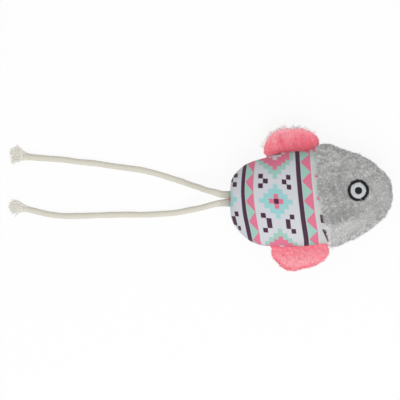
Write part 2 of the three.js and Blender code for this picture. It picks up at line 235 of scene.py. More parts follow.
# Stepped diamonds between them, one in the other
NESTED_DIAMONDS = (
    *off_either("lines_off", "line", 10.0, 11.0),
    ("nested_off", "ADD", "column", "lines_off"),
    ("nested_reach", "LESS_THAN", "nested_off", 5.5),
    ("nested_width", "LESS_THAN", "column", 4.5),
    ("nested", "MULTIPLY", "nested_reach", "nested_width"),
    *off_either("inner_off", "row", 10.63, 11.45),
    ("inner_fine", "MULTIPLY", "inner_off", 1.3),
    ("inner_line", "ROUND", "inner_fine"),
    ("inner_steps", "ADD", "column", "inner_line"),
    ("inner_reach", "LESS_THAN", "inner_steps", 5.5),
    ("inner_width", "LESS_THAN", "column", 3.5),
    ("nested_inner", "MULTIPLY", "inner_reach", "inner_width"),
    ("nested_light", "LESS_THAN", "inner_steps", 2.5),
    ("nested_bar", "LESS_THAN", "inner_line", 0.5),
    ("nested_middle", "LESS_THAN", "column", 1.5),
    ("nested_heart", "MULTIPLY", "nested_middle", "nested_bar"),
)

# Chevrons of small squares
CHEVRONS = (
    ("outer_column", "COMPARE", "column", 3.0, 0.1),
    *any_of("outer_line", ("line_off", 3.0, 0.1), ("line", -5.0, 0.1), ("line", 6.0, 0.1)),
    ("outer", "MULTIPLY", "outer_column", "outer_line"),
    ("tip_column", "COMPARE", "column", 2.0, 0.1),
    *any_of("tip_line", ("line_off", 4.0, 0.1), ("line", 5.0, 0.1)),
    ("tip", "MULTIPLY", "tip_column", "tip_line"),
    ("chevron", "ADD", "outer", "tip"),
)

# Stripe, then a row of triangles
STRIPE_AND_TRIANGLES = (
    ("stripe_from", "GREATER_THAN", "in_band", 4.9),
    ("stripe_to", "LESS_THAN", "in_band", 6.0),
    ("stripe", "MULTIPLY", "stripe_from", "stripe_to"),
    ("zigzag", "GREATER_THAN", "in_band", 6.12),
    ("tail_side", "LESS_THAN", "along", 0.0),
    ("zigzag_shift", "MULTIPLY_ADD", "tail_side", -0.73, 0.35),
    ("zigzag_row", "ADD", "row", "zigzag_shift"),
    ("zigzag_edge", "PINGPONG", "zigzag_row", 2.0),
    ("zigzag_place", "SUBTRACT", "in_band", 6.12),
    ("zigzag_side", "GREATER_THAN", "zigzag_place", "zigzag_edge"),
    ("zigzag_pink", "MULTIPLY", "zigzag", "zigzag_side"),
    ("plum", "ADD", "chevron", "stripe"),
)

# Past the triangles only a few small marks show before the neck seam
NECK_MARKS = (
    # Painted shade: the ground past the triangles turns greyer towards the neck seam
    ("past", "GREATER_THAN", "along", 8.4),
    ("mark_from", "GREATER_THAN", "along", 8.9),
    *any_of("mark_square", ("row", -11.4, 0.42), ("row", -5.6, 0.34), ("row", -1.1, 0.34)),
    ("mark_pink", "MULTIPLY", "mark_from", "mark_square"),
    *any_of("mark_run", ("row", -9.4, 0.8), ("row", -3.0, 0.95)),
    ("mark_dash", "PINGPONG", "row", 0.32),
    ("mark_dashed", "GREATER_THAN", "mark_dash", 0.11),
    ("mark_dashes", "MULTIPLY", "mark_run", "mark_dashed"),
    ("mark_to", "LESS_THAN", "along", 9.55),
    ("mark_wide", "MULTIPLY", "mark_from", "mark_to"),
    ("mark_mint", "MULTIPLY", "mark_wide", "mark_dashes"),
    *any_of("mark_corner", ("row", 3.1, 0.85), ("row", 6.6, 1.35)),
    ("mark_low", "MAXIMUM", "row", 5.2),
    ("mark_slant", "MULTIPLY", "mark_low", 0.36),
    ("mark_in", "SUBTRACT", "along", "mark_slant"),
    ("mark_edge", "GREATER_THAN", "mark_in", 7.3),
    ("mark_plum", "MULTIPLY", "mark_corner", "mark_edge"),
)


@dataclass(frozen=True)
class PrintedTwill:
    """Polyester-cotton twill, woven and then roller printed."""

    ground: str = "#ced0d6"
    plum: str = "#492c40"
    pink: str = "#dd7692"
    mint: str = "#9dc6bb"
    turquoise: str = "#99cdcd"
    band: float = 12.8  # width of one band of the print, in print units
    repeat: float = 21.0  # rows after which a band repeats
    shaded_ground: str = "#c8cac9"  # painted shade beside the neck seam, where the cloth dips under the plush's edge, partly a haze of loose pile
    thread: float = 1.1  # between twill lines, in mm
    unit: float = 2.76  # one print unit along the toy, in mm
    row_pitch: float = 2.97  # one row of the print across the toy, in mm

    def steps(self) -> tuple:
        """The print as arithmetic on the place along the toy and the row across it.

        Returns:
            Rows of a result's name, an operation and its operands.
        """
        start, end = -4.6, self.band - 4.6
        rows = self.repeat / 2
        twill_turn = 2 * math.pi * self.unit / self.thread / math.sqrt(2)
        return (
            ("in_band", "WRAP", "along", end, start),
            ("in_repeat", "WRAP", "row", rows, -rows),
            ("cell", "ROUND", "in_band"),
            ("column", "ABSOLUTE", "cell"),
            ("line", "ROUND", "in_repeat"),
            ("line_off", "ABSOLUTE", "line"),
            *DIAMOND,
            *NESTED_DIAMONDS,
            *CHEVRONS,
            *STRIPE_AND_TRIANGLES,
            *NECK_MARKS,
            ("slant", "ADD", "along", "row"),
            ("slant_phase", "MULTIPLY", "slant", twill_turn),
            ("twill", "SINE", "slant_phase"),
            ("twill_light", "MULTIPLY_ADD", "zigzag", 0.14, 0.06),
            ("twill_share", "MULTIPLY_ADD", "plum", 0.6, "twill_light"),
            ("twill_part", "MULTIPLY", "twill", "twill_share"),
            ("twill_tone", "ADD", "twill_part", 0.985),
            ("twill_height", "MULTIPLY_ADD", "twill", 0.5, 0.5),
        )

    def material(self) -> Material:
        """Flat ink on a matt cloth whose slanting twill lines break the light a little.

        Returns:
            The material, which reads the UV map named cloth in print units.
        """
        material, tree, shader = new_material("printed_twill")
        place = add_node(tree, "ShaderNodeUVMap", {"uv_map": "cloth"}).outputs["UV"]
        parts = add_node(tree, "ShaderNodeSeparateXYZ", {}, place)
        found = work_out(tree, {"along": parts.outputs[0], "row": parts.outputs[1]}, self.steps())
        layers = (
            ("nested", self.mint),
            ("nested_inner", self.pink),
            ("nested_light", self.ground),
            ("nested_heart", self.plum),
            ("diamond", self.turquoise),
            ("plus", self.pink),
            ("heart", self.plum),
            ("zigzag", self.mint),
            ("zigzag_pink", self.pink),
            ("plum", self.plum),
            # Painted shade: greyer ground beside the neck seam
            ("past", self.shaded_ground),
            ("mark_pink", self.pink),
            ("mark_mint", self.mint),
            ("mark_plum", self.plum),
        )
        mixing = {"data_type": "RGBA", "clamp_factor": True}
        colour = hex_to_linear(self.ground)
        for signal, ink in layers:
            ends = (MIX_FROM, colour), (MIX_TO, hex_to_linear(ink))
            colour = add_node(tree, "ShaderNodeMix", mixing, found[signal], *ends).outputs[MIXED]
        fibre = add_node(tree, "ShaderNodeTexNoise", {"Scale": 26.0, "Detail": 3.0}, place)
        tones = {"To Min": 0.93, "To Max": 1.05}
        tone = add_node(tree, "ShaderNodeMapRange", tones, fibre.outputs[0])
        known = {"twill": found["twill_tone"], "fibre": tone.outputs[0]}
        share = work_out(tree, known, (("share", "MULTIPLY", "twill", "fibre"),))["share"]
        scale = {"operation": "SCALE"}
        shaded = add_node(tree, "ShaderNodeVectorMath", scale, colour, ("Scale", share))
        relief = {"Strength": 0.35, "Distance": 0.12 * MM}
        bump = add_node(tree, "ShaderNodeBump", relief, ("Height", found["twill_height"]))
        tree.links.new(shaded.outputs[0], shader.inputs["Base Color"])
        tree.links.new(bump.outputs[0], shader.inputs["Normal"])
        shader.inputs["Roughness"].default_value = 0.8
        shader.inputs["Specular IOR Level"].default_value = 0.25
        shader.inputs["Sheen Weight"].default_value = 0.08
        return material


@dataclass(frozen=True)
class Plush:
    """Polyester minky plush: a knitted back with short cut pile, brushed one way."""

    name: str
    back: str  # darker tone of the knitted back
    foot: str  # its lighter tone, and the shaded foot of the pile
    tip: str
    tip_light: str
    glow: float = 0.75  # share of the light that the fibres let through

    def back_material(self) -> Material:
        """A matt, mottled ground between the strands of pile.

        Returns:
            The material of the knitted back.
        """
        material, tree, shader = new_material(self.name + "_back")
        place = add_node(tree, "ShaderNodeTexCoord", {}).outputs["Object"]
        noise = add_node(tree, "ShaderNodeTexNoise", {"Scale": 900.0, "Detail": 4.0}, place)
        ramp = add_node(tree, "ShaderNodeValToRGB", {}, noise.outputs[0])
        ramp.color_ramp.elements[0].position = 0.35
        ramp.color_ramp.elements[0].color = hex_to_linear(self.back)
        ramp.color_ramp.elements[1].position = 0.7
        ramp.color_ramp.elements[1].color = hex_to_linear(self.foot)
        relief = {"Strength": 0.6, "Distance": 0.4 * MM}
        bump = add_node(tree, "ShaderNodeBump", relief, ("Height", noise.outputs[0]))
        tree.links.new(ramp.outputs[0], shader.inputs["Base Color"])
        tree.links.new(bump.outputs[0], shader.inputs["Normal"])
        shader.inputs["Roughness"].default_value = 1.0
        shader.inputs["Specular IOR Level"].default_value = 0.1
        return material

    def pile_material(self) -> Material:
        """Strands that are deep at the foot, as painted shade, and pale at the tip, each of its own
        tone.

        Returns:
            The material of the pile, which reads tone and height along a strand from its UV map.
        """
        material, tree, shader = new_material(self.name + "_pile")
        place = add_node(tree, "ShaderNodeUVMap", {"uv_map": "OFBake"}).outputs["UV"]
        parts = add_node(tree, "ShaderNodeSeparateXYZ", {}, place)
        mixing = {"data_type": "RGBA"}
        ends = (MIX_FROM, hex_to_linear(self.tip)), (MIX_TO, hex_to_linear(self.tip_light))
        tips = add_node(tree, "ShaderNodeMix", mixing, parts.outputs[0], *ends)
        ends = (MIX_FROM, hex_to_linear(self.foot)), (MIX_TO, tips.outputs[MIXED])
        whole = add_node(tree, "ShaderNodeMix", mixing, parts.outputs[1], *ends)
        tree.links.new(whole.outputs[MIXED], shader.inputs["Base Color"])
        shader.inputs["Roughness"].default_value = 0.85
        shader.inputs["Specular IOR Level"].default_value = 0.2
        shader.inputs["Sheen Weight"].default_value = 0.15
        shader.inputs["Sheen Roughness"].default_value = 0.6
        let_light_through(tree, shader, self.glow)
        return material


@dataclass(frozen=True)
class SpunFibre:
    """Spun or twisted yarn of one colour: thread, cord or filling."""

    name: str
    light: str
    dark: str
    roughness: float
    grain: float  # across one fibre bundle, in mm
    glow: float = 0.0  # share of the light that loose fibres let through
    painted_seam_shadow: float = 0.0  # how much darker the yarn is painted towards the tail seam, as painted shadow of the body

    def material(self) -> Material:
        """Fine fibres that lie along each other and catch the light unevenly.

        Returns:
            The material.
        """
        material, tree, shader = new_material(self.name)
        place = add_node(tree, "ShaderNodeTexCoord", {}).outputs["Object"]
        scale = 1 / (self.grain * MM)
        noise = add_node(tree, "ShaderNodeTexNoise", {"Scale": scale, "Detail": 3.0}, place)
        ramp = add_node(tree, "ShaderNodeValToRGB", {}, noise.outputs[0])
        ramp.color_ramp.elements[0].position = 0.3
        ramp.color_ramp.elements[0].color = hex_to_linear(self.dark)
        ramp.color_ramp.elements[1].position = 0.65
        ramp.color_ramp.elements[1].color = hex_to_linear(self.light)
        relief = {"Strength": 0.3, "Distance": 0.1 * MM}
        bump = add_node(tree, "ShaderNodeBump", relief, ("Height", noise.outputs[0]))
        colour = ramp.outputs[0]
        if self.painted_seam_shadow:
            # Painted shadow: the yarn darkens over its last 8 mm before the tail seam
            parts = add_node(tree, "ShaderNodeSeparateXYZ", {}, place)
            ends = {"From Min": -57 * MM, "From Max": -49 * MM}
            ends |= {"To Min": 1.0, "To Max": 1 - self.painted_seam_shadow}
            tone = add_node(tree, "ShaderNodeMapRange", ends, parts.outputs[0])
            scale, share = {"operation": "SCALE"}, ("Scale", tone.outputs[0])
            colour = add_node(tree, "ShaderNodeVectorMath", scale, colour, share).outputs[0]
        tree.links.new(colour, shader.inputs["Base Color"])
        tree.links.new(bump.outputs[0], shader.inputs["Normal"])
        shader.inputs["Roughness"].default_value = self.roughness
        shader.inputs["Specular IOR Level"].default_value = 0.3
        if self.glow:
            let_light_through(tree, shader, self.glow)
        return material


def to_row(points: Points, above: float = SEAM_HEIGHT) -> Points:
    """Turns points of the toy's frame in mm into metres of the row frame.

    Args:
        points: places whose last axis is x, y, z.
        above: height of the frame's zero over the floor.

    Returns:
        The same places in metres.
    """
    return (np.asarray(points, float) + [MIDDLE[0], MIDDLE[1], above]) * MM


def wander(points: Points, length: float, seed: int, waves: int = 14) -> np.ndarray:
    """A smooth random value for each place, with a mean of 0 and a spread of about 1.

    Args:
        points: places in mm.
        length: distance over which the value changes.
        seed: makes one field differ from another.
        waves: plane waves that are summed.

    Returns:
        One value per place.
    """
    rng = np.random.default_rng(seed)
    directions = unit(rng.normal(size=(waves, 3)))
    rates = directions * (2 * np.pi / (length * rng.uniform(0.7, 1.5, waves)))[:, None]
    phases = rng.uniform(0, 2 * np.pi, waves)
    return np.cos(points @ rates.T + phases).sum(-1) / math.sqrt(waves / 2)


def smooth_rows(rows: np.ndarray, place: np.ndarray) -> np.ndarray:
    """Reads rows of numbers at places between them, on a smooth curve.

    Args:
        rows: one row per whole place.
        place: where to read.

    Returns:
        A row for each place.
    """
    last = len(rows) - 1
    place = np.clip(place, 0, last)
    near = np.minimum(place.astype(int), last - 1)
    wide = (...,) + (None,) * (rows.ndim - 1)
    t = (place - near)[wide]
    b, c = rows[near], rows[near + 1]
    a = np.where((near > 0)[wide], rows[np.maximum(near - 1, 0)], 2 * b - c)
    d = np.where((near < last - 1)[wide], rows[np.minimum(near + 2, last)], 2 * c - b)
    straight = 2 * b + (c - a) * t
    return 0.5 * (straight + (2 * a - 5 * b + 4 * c - d) * t**2 + (3 * (b - c) + d - a) * t**3)


def normals_of(grid: Points) -> Points:
    """Unit normals of a grid of points, from each point's neighbours."""
    normal = np.cross(np.gradient(grid, axis=0), np.gradient(grid, axis=1))
    return normal / np.maximum(np.linalg.norm(normal, axis=-1, keepdims=True), 1e-9)


def outward(normals: Points, flank: Flank) -> Points:
    """The normals of a flank, turned to the outside."""
    return normals if (normals[..., 2].mean() > 0) == (flank is Flank.UPPER) else -normals


def unit(vectors: Points) -> Points:
    """Vectors with a length of 1."""
    return vectors / np.linalg.norm(vectors, axis=-1, keepdims=True)


def fade(distance: np.ndarray, width: float) -> np.ndarray:
    """Weight that falls smoothly from 1 in the middle to about a third at the width."""
    return np.exp(-((distance / width) ** 2))


def walked_along(line: Points) -> np.ndarray:
    """Distance from the first point of a line to each of its points."""
    return np.concatenate([[0], np.cumsum(np.linalg.norm(np.diff(line, axis=0), axis=1))])


def closed_faces(rows: int, columns: int, flip: bool = False) -> list:
    """Faces of a grid whose last column is next to the first, with both ends closed.

    Args:
        rows: of the grid.
        columns: round it.
        flip: turns the faces over.

    Returns:
        The faces, as vertex numbers.
    """
    start = np.arange(rows - 1)[:, None] * columns + np.arange(columns)[None]
    after = np.arange(rows - 1)[:, None] * columns + (np.arange(columns)[None] + 1) % columns
    corners = (start, start + columns, after + columns, after)
    order, step = ((0, 3, 2, 1), -1) if flip else ((0, 1, 2, 3), 1)
    faces = np.stack([corners[k] for k in order], -1).reshape(-1, 4).tolist()
    near, far = range(columns), range((rows - 1) * columns, rows * columns)
    faces += [list(near)[::step], list(far)[::-step]]
    return faces


# Sections of the form: along the length, upper edge, lower edge, crown, as shares
STATIONS = (
    (-0.008, -0.03, -0.03, 0),
    (-0.0045, 0.196, -0.26, 0.24),
    (0.001, 0.335, -0.455, 0.4),
    (0.0285, 0.48, -0.615, 0.6),
    (0.0813, 0.625, -0.79, 0.765),
    (0.1314, 0.706, -0.9, 0.86),
    (0.2065, 0.785, -0.968, 0.94),
    (0.3379, 0.895, -0.995, 0.995),
    (0.4317, 0.925, -0.993, 1.0),
    (0.5318, 0.955, -0.957, 0.96),
    (0.5813, 0.985, -0.935, 0.915),
    (0.6335, 0.98, -0.94, 0.91),
    (0.6818, 0.93, -0.922, 0.895),
    (0.7821, 0.832, -0.785, 0.8),
    (0.8822, 0.675, -0.59, 0.625),
    (0.9322, 0.512, -0.43, 0.48),
    (0.9708, 0.385, -0.245, 0.33),
    (0.9865, 0.262, -0.112, 0.2),
    (0.9945, 0.088, 0.088, 0),
)


@dataclass
class StuffedForm:
    """The stuffed body and head without detail: oval sections that swell and taper."""

    length: float = 95.9
    half_breadth: float = 30.6
    half_thickness: float = 16.8
    neck_place: float = 56.1
    neck_tilt: float = math.radians(7.3)
    neck_bow: float = 2.5  # how far the neck seam bows towards the tail on the crown of a flank
    neck_turn: float = 0.9  # how far it turns to the nose at the lower edge
    relief: np.ndarray | None = None  # moves from the cloth simulation, on rows and columns
    relief_places: np.ndarray | None = None  # place of each row of the relief
    stations: np.ndarray = field(default_factory=lambda: np.array(STATIONS))

    @property
    def last(self) -> int:
        """Place of the tip of the nose."""
        return len(self.stations) - 1

    def read(self, place: np.ndarray) -> tuple[np.ndarray, np.ndarray, np.ndarray, np.ndarray]:
        """Section at each place.

        Args:
            place: where along the toy, in rows of the stations.

        Returns:
            Its x, middle, half breadth and crown, in mm.
        """
        along, upper, lower, crown = np.moveaxis(smooth_rows(self.stations, place), -1, 0)
        middle = self.half_breadth * (upper + lower) / 2
        half = self.half_breadth * (upper - lower) / 2
        return TAIL_X + along * self.length, middle, half, self.half_thickness * crown

    def surface(self, place: np.ndarray, angle: np.ndarray, grow: float | np.ndarray) -> Points:
        """Points of the form.

        Args:
            place: where along the toy, in rows of the stations.
            angle: round the section, from 0 at the upper long edge over the upper flank.
            grow: how far outside the form, in mm.

        Returns:
            Points in the toy's frame.
        """
        place, angle = np.broadcast_arrays(place, angle)
        x, middle, half, crown = self.read(place)
        middle_x = TAIL_X + self.length / 2
        x = middle_x + (x - middle_x) * (1 + grow / (self.length / 2))
        y = middle + half * (1 + grow / self.half_breadth) * np.cos(angle)
        z = crown * (1 + grow / self.half_thickness) * np.sin(angle)
        points = np.stack([x, y, z], -1)
        if self.relief is not None:
            points = points + self.relief_at(place, angle)
        points[..., 2] = flattened(points[..., 2])
        return points

    def crown_walk(self, place: np.ndarray) -> np.ndarray:
        """Distance over the crown of a flank from the first place to each of them."""
        x, _, _, crown = self.read(place)
        return np.concatenate([[0], np.cumsum(np.hypot(np.diff(x), np.diff(crown)))])

    def relief_at(self, place: np.ndarray, angle: np.ndarray) -> Points:
        """Moves of the simulated cloth, read smoothly between its points.

        Args:
            place: where along the toy.
            angle: round the section.

        Returns:
            A move for each place, in mm.
        """
        rows, columns = self.relief.shape[:2]
        down = np.interp(place, self.relief_places, np.arange(rows))
        round_it = (angle / (2 * np.pi)) % 1 * columns
        found = 0.0
        for k in range(-1, 3):
            at_row = np.clip(np.floor(down).astype(int) + k, 0, rows - 1)
            for m in range(-1, 3):
                at_column = (np.floor(round_it).astype(int) + m) % columns
                weight = hat(down - np.floor(down) - k) * hat(round_it - np.floor(round_it) - m)
                found = found + weight[..., None] * self.relief[at_row, at_column]
        return found

    def neck_at(self, angle: np.ndarray, shift: float = 0.0) -> np.ndarray:
        """Place at which each line along the toy crosses the neck seam.

        Args:
            angle: round the section.
            shift: moves the seam towards the nose, in mm.

        Returns:
            The place for each angle.
        """
        fine = np.linspace(6, 13, 700)
        x, middle, half, _ = self.read(fine)
        found = []
        for a in np.atleast_1d(angle):
            y = middle + half * math.cos(a)
            seam = TAIL_X + self.neck_place + shift - self.neck_bow * math.sin(a) ** 4
            seam += self.neck_turn * max(-math.cos(a), 0) ** 2
            found.append(np.interp(0, (x - seam) + y * math.tan(self.neck_tilt), fine))
        return np.array(found)

    def place_of(self, x: np.ndarray) -> np.ndarray:
        """Place of the section at each x."""
        fine = np.linspace(0, self.last, 3000)
        return np.interp(x, self.read(fine)[0], fine)

    def on_flank(self, x: np.ndarray, y: np.ndarray, flank: Flank, grow: float) -> Points:
        """Points of a flank straight over or under places of the seam plane.

        Args:
            x: of the places.
            y: of the places.
            flank: the upper or the lower one.
            grow: how far outside the form, in mm.

        Returns:
            Points in the toy's frame.
        """
        middle_x = TAIL_X + self.length / 2
        inside = middle_x + (np.asarray(x, float) - middle_x) / (1 + grow / (self.length / 2))
        place = self.place_of(inside)
        _, middle, half, _ = self.read(place)
        angle = np.arccos(np.clip((y - middle) / (half * (1 + grow / self.half_breadth)), -1, 1))
        return self.surface(place, flank.value * angle, grow)


@dataclass(frozen=True)
class StuffingPress:
    """Cloth simulation in which the filling presses a cover out between its seams.

    It runs at ten times the toy's size, where the cloth's stiffness is that of a cushion.
    """

    pressure: float = 4.0
    extra_cloth: float = 0.03  # share by which the cut cloth is longer than the sewn form
    frames: int = 20
    quality: int = 6
    mass: float = 0.3
    stretch: float = 15.0  # stiffness against stretch, shear and bending
    shear: float = 5.0
    bending: float = 0.3
    most: float = 0.8  # greatest move, in mm
    scale: float = 10 * MM

    def press(self, points: Points, faces: list, sewn: np.ndarray) -> Points:
        """Lets the cloth settle under the pressure of the filling.

        Args:
            points: the cover's points, in mm.
            faces: its faces, which face outwards.
            sewn: which points are held by a seam.

        Returns:
            How far each point has moved, in mm.
        """
        mesh = bpy.data.meshes.new("cover_under_pressure")
        mesh.from_pydata((points * self.scale).tolist(), [], faces)
        cover = bpy.data.objects.new("cover_under_pressure", mesh)
        scene = bpy.context.scene
        scene.collection.objects.link(cover)
        cover.vertex_groups.new(name="seams").add(np.flatnonzero(sewn).tolist(), 1.0, "REPLACE")
        cloth = cover.modifiers.new("cloth", "CLOTH")
        settings = cloth.settings
        settings.quality = self.quality
        settings.mass = self.mass
        settings.tension_stiffness = settings.compression_stiffness = self.stretch
        settings.shear_stiffness = self.shear
        settings.bending_stiffness = self.bending
        settings.vertex_group_mass = "seams"
        settings.use_pressure = True
        settings.uniform_pressure_force = self.pressure
        settings.shrink_min = -self.extra_cloth
        settings.effector_weights.gravity = 0.0
        cloth.collision_settings.use_collision = False
        cloth.point_cache.frame_end = self.frames
        for step in range(1, self.frames + 1):
            scene.frame_set(step)
        settled = cover.evaluated_get(bpy.context.evaluated_depsgraph_get())
        found = np.empty(len(points) * 3)
        settled.data.vertices.foreach_get("co", found)
        move = found.reshape(-1, 3) / self.scale - points
        bpy.data.objects.remove(cover)
        bpy.data.meshes.remove(mesh)
        scene.frame_set(1)
        size = np.linalg.norm(move, axis=1, keepdims=True)
        log.info("pressed cover: %.2f mm on average, %.2f mm at most", size.mean(), size.max())
        return move * np.minimum(1, self.most / np.maximum(size, 1e-9))


def press_form(form: StuffedForm, rows: int = 66, columns: int = 96) -> None:
    """Presses the covers of the body and head out between their seams.

    Args:
        form: the stuffed form, which gets the moves as its relief.
        rows: of the simulated cloth, from tail to nose.
        columns: round the toy.
    """
    fine = np.linspace(0.3, form.last - 0.1, 800)
    walked = form.crown_walk(fine)
    places = np.interp(np.linspace(0, walked[-1], rows), walked, fine)
    angle = np.linspace(0, 2 * np.pi, columns, endpoint=False)
    grid = form.surface(places[:, None], angle[None], 0.0)
    neck = grid[..., 0] + grid[..., 1] * math.tan(form.neck_tilt) - (TAIL_X + form.neck_place)
    neck = np.abs(neck + form.neck_bow * np.sin(angle)[None] ** 4)
    # The long seam, the neck seam and both ends are sewn
    sewn = np.abs(np.sin(angle))[None] < 0.01
    sewn = sewn | (neck < 0.8)
    sewn[[0, 1, -1, -2]] = True
    move = StuffingPress().press(grid.reshape(-1, 3), closed_faces(rows, columns), sewn.ravel())
    # From 2 mm to 9 mm from either end the moves come in slowly
    ends = np.clip((walked[-1] * np.linspace(0, 1, rows) - 2.0) / 7.0, 0, 1)
    ends = np.minimum(ends, ends[::-1])[:, None, None]
    form.relief = calm(move.reshape(rows, columns, 3), passes=3, ring=True) * ends
    form.relief_places = places


def calm(moves: Points, passes: int, ring: bool = False) -> Points:
    """Evens out a grid of moves, without changing its outer rows.

    Args:
        moves: on rows and columns.
        passes: how often.
        ring: whether the last column is next to the first.

    Returns:
        The calmer moves.
    """
    for _ in range(passes):
        inner = moves.copy()
        inner[1:-1] = 0.5 * moves[1:-1] + 0.25 * (moves[:-2] + moves[2:])
        beside = 0.5 * inner + 0.25 * (np.roll(inner, 1, axis=1) + np.roll(inner, -1, axis=1))
        if not ring:
            beside[:, [0, -1]] = inner[:, [0, -1]]
        moves = beside
    return moves


def resample(grid: Points, rows: int, columns: int) -> Points:
    """Reads a grid of points on another number of rows and columns."""
    tall = smooth_rows(grid, np.linspace(0, len(grid) - 1, rows)).swapaxes(0, 1)
    return smooth_rows(tall, np.linspace(0, len(tall) - 1, columns)).swapaxes(0, 1)


def hat(distance: np.ndarray) -> np.ndarray:
    """Weight of a smooth cubic between points one step apart.

    Args:
        distance: from the point, in steps.

    Returns:
        Its share in the value at each distance.
    """
    d = np.abs(distance)
    near = 1.5 * d**3 - 2.5 * d**2 + 1
    far = -0.5 * d**3 + 2.5 * d**2 - 4 * d + 2
    return np.where(d < 1, near, np.where(d < 2, far, 0.0))


def flattened(z: np.ndarray, softness: float = 0.6) -> np.ndarray:
    """Presses a surface flat where it would sink into the floor.

    Args:
        z: heights in the toy's frame.
        softness: height over the floor from which it gives way, in mm.

    Returns:
        The heights after that.
    """
    over = z - FLOOR
    pressed = softness * np.exp(np.minimum(over / softness - 1, 0))
    return FLOOR + np.where(over > softness, over, pressed)


def mesh_object(name: str, points: Points, faces: list, smooth: bool = True) -> Object:
    """Makes a mesh object from points in metres of the row frame.

    Args:
        name: of the piece.
        points: its vertices.
        faces: its faces, as vertex numbers.
        smooth: whether it is shaded smooth.

    Returns:
        The object, in the scene.
    """
    mesh = bpy.data.meshes.new(name)
    mesh.from_pydata(np.asarray(points, float).reshape(-1, 3).tolist(), [], faces)
    mesh.update()
    if smooth:
        mesh.shade_smooth()
    piece = bpy.data.objects.new(name, mesh)
    bpy.context.scene.collection.objects.link(piece)
    return piece


def grid_faces(rows: int, columns: int, flip: bool = False) -> np.ndarray:
    """Quads of a grid of points, turned over if flip is set."""
    start = (np.arange(rows - 1)[:, None] * columns + np.arange(columns - 1)[None]).reshape(-1, 1)
    return start + np.array([0, 1, columns + 1, columns])[:: -1 if flip else 1]


def set_uv(piece: Object, name: str, per_vertex: np.ndarray) -> None:
    """Gives a mesh a UV map.

    Args:
        piece: the mesh object.
        name: of the map.
        per_vertex: a pair of numbers for each vertex.
    """
    mesh = piece.data
    corners = np.empty(len(mesh.loops), np.int32)
    mesh.loops.foreach_get("vertex_index", corners)
    layer = mesh.uv_layers.new(name=name)
    layer.uv.foreach_set("vector", per_vertex.reshape(-1, 2)[corners].astype(np.float32).ravel())


def thicken(piece: Object, thickness: float) -> None:
    """Gives a sheet of cloth its thickness, inwards, after joining points that coincide.

    Args:
        piece: the sheet.
        thickness: of the cloth, in mm.
    """
    made = bmesh.new()
    made.from_mesh(piece.data)
    bmesh.ops.remove_doubles(made, verts=made.verts, dist=1e-7)
    bmesh.ops.recalc_face_normals(made, faces=made.faces)
    made.to_mesh(piece.data)
    made.free()
    modifier = piece.modifiers.new("thickness", "SOLIDIFY")
    modifier.thickness = thickness * MM
    modifier.offset = -1


def report(piece: Object, slot: str, *nodes: str) -> None:
    """Hides the CAD nodes that a piece stands for, and logs it.

    Args:
        piece: the finished piece.
        slot: of its material; not used.
        nodes: CAD nodes that it replaces.
    """
    if nodes:
        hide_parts(*nodes)
    stands_for = ", ".join(nodes) or "no node"
    log.info("%s: %d faces, stands for %s", piece.name, len(piece.data.polygons), stands_for)


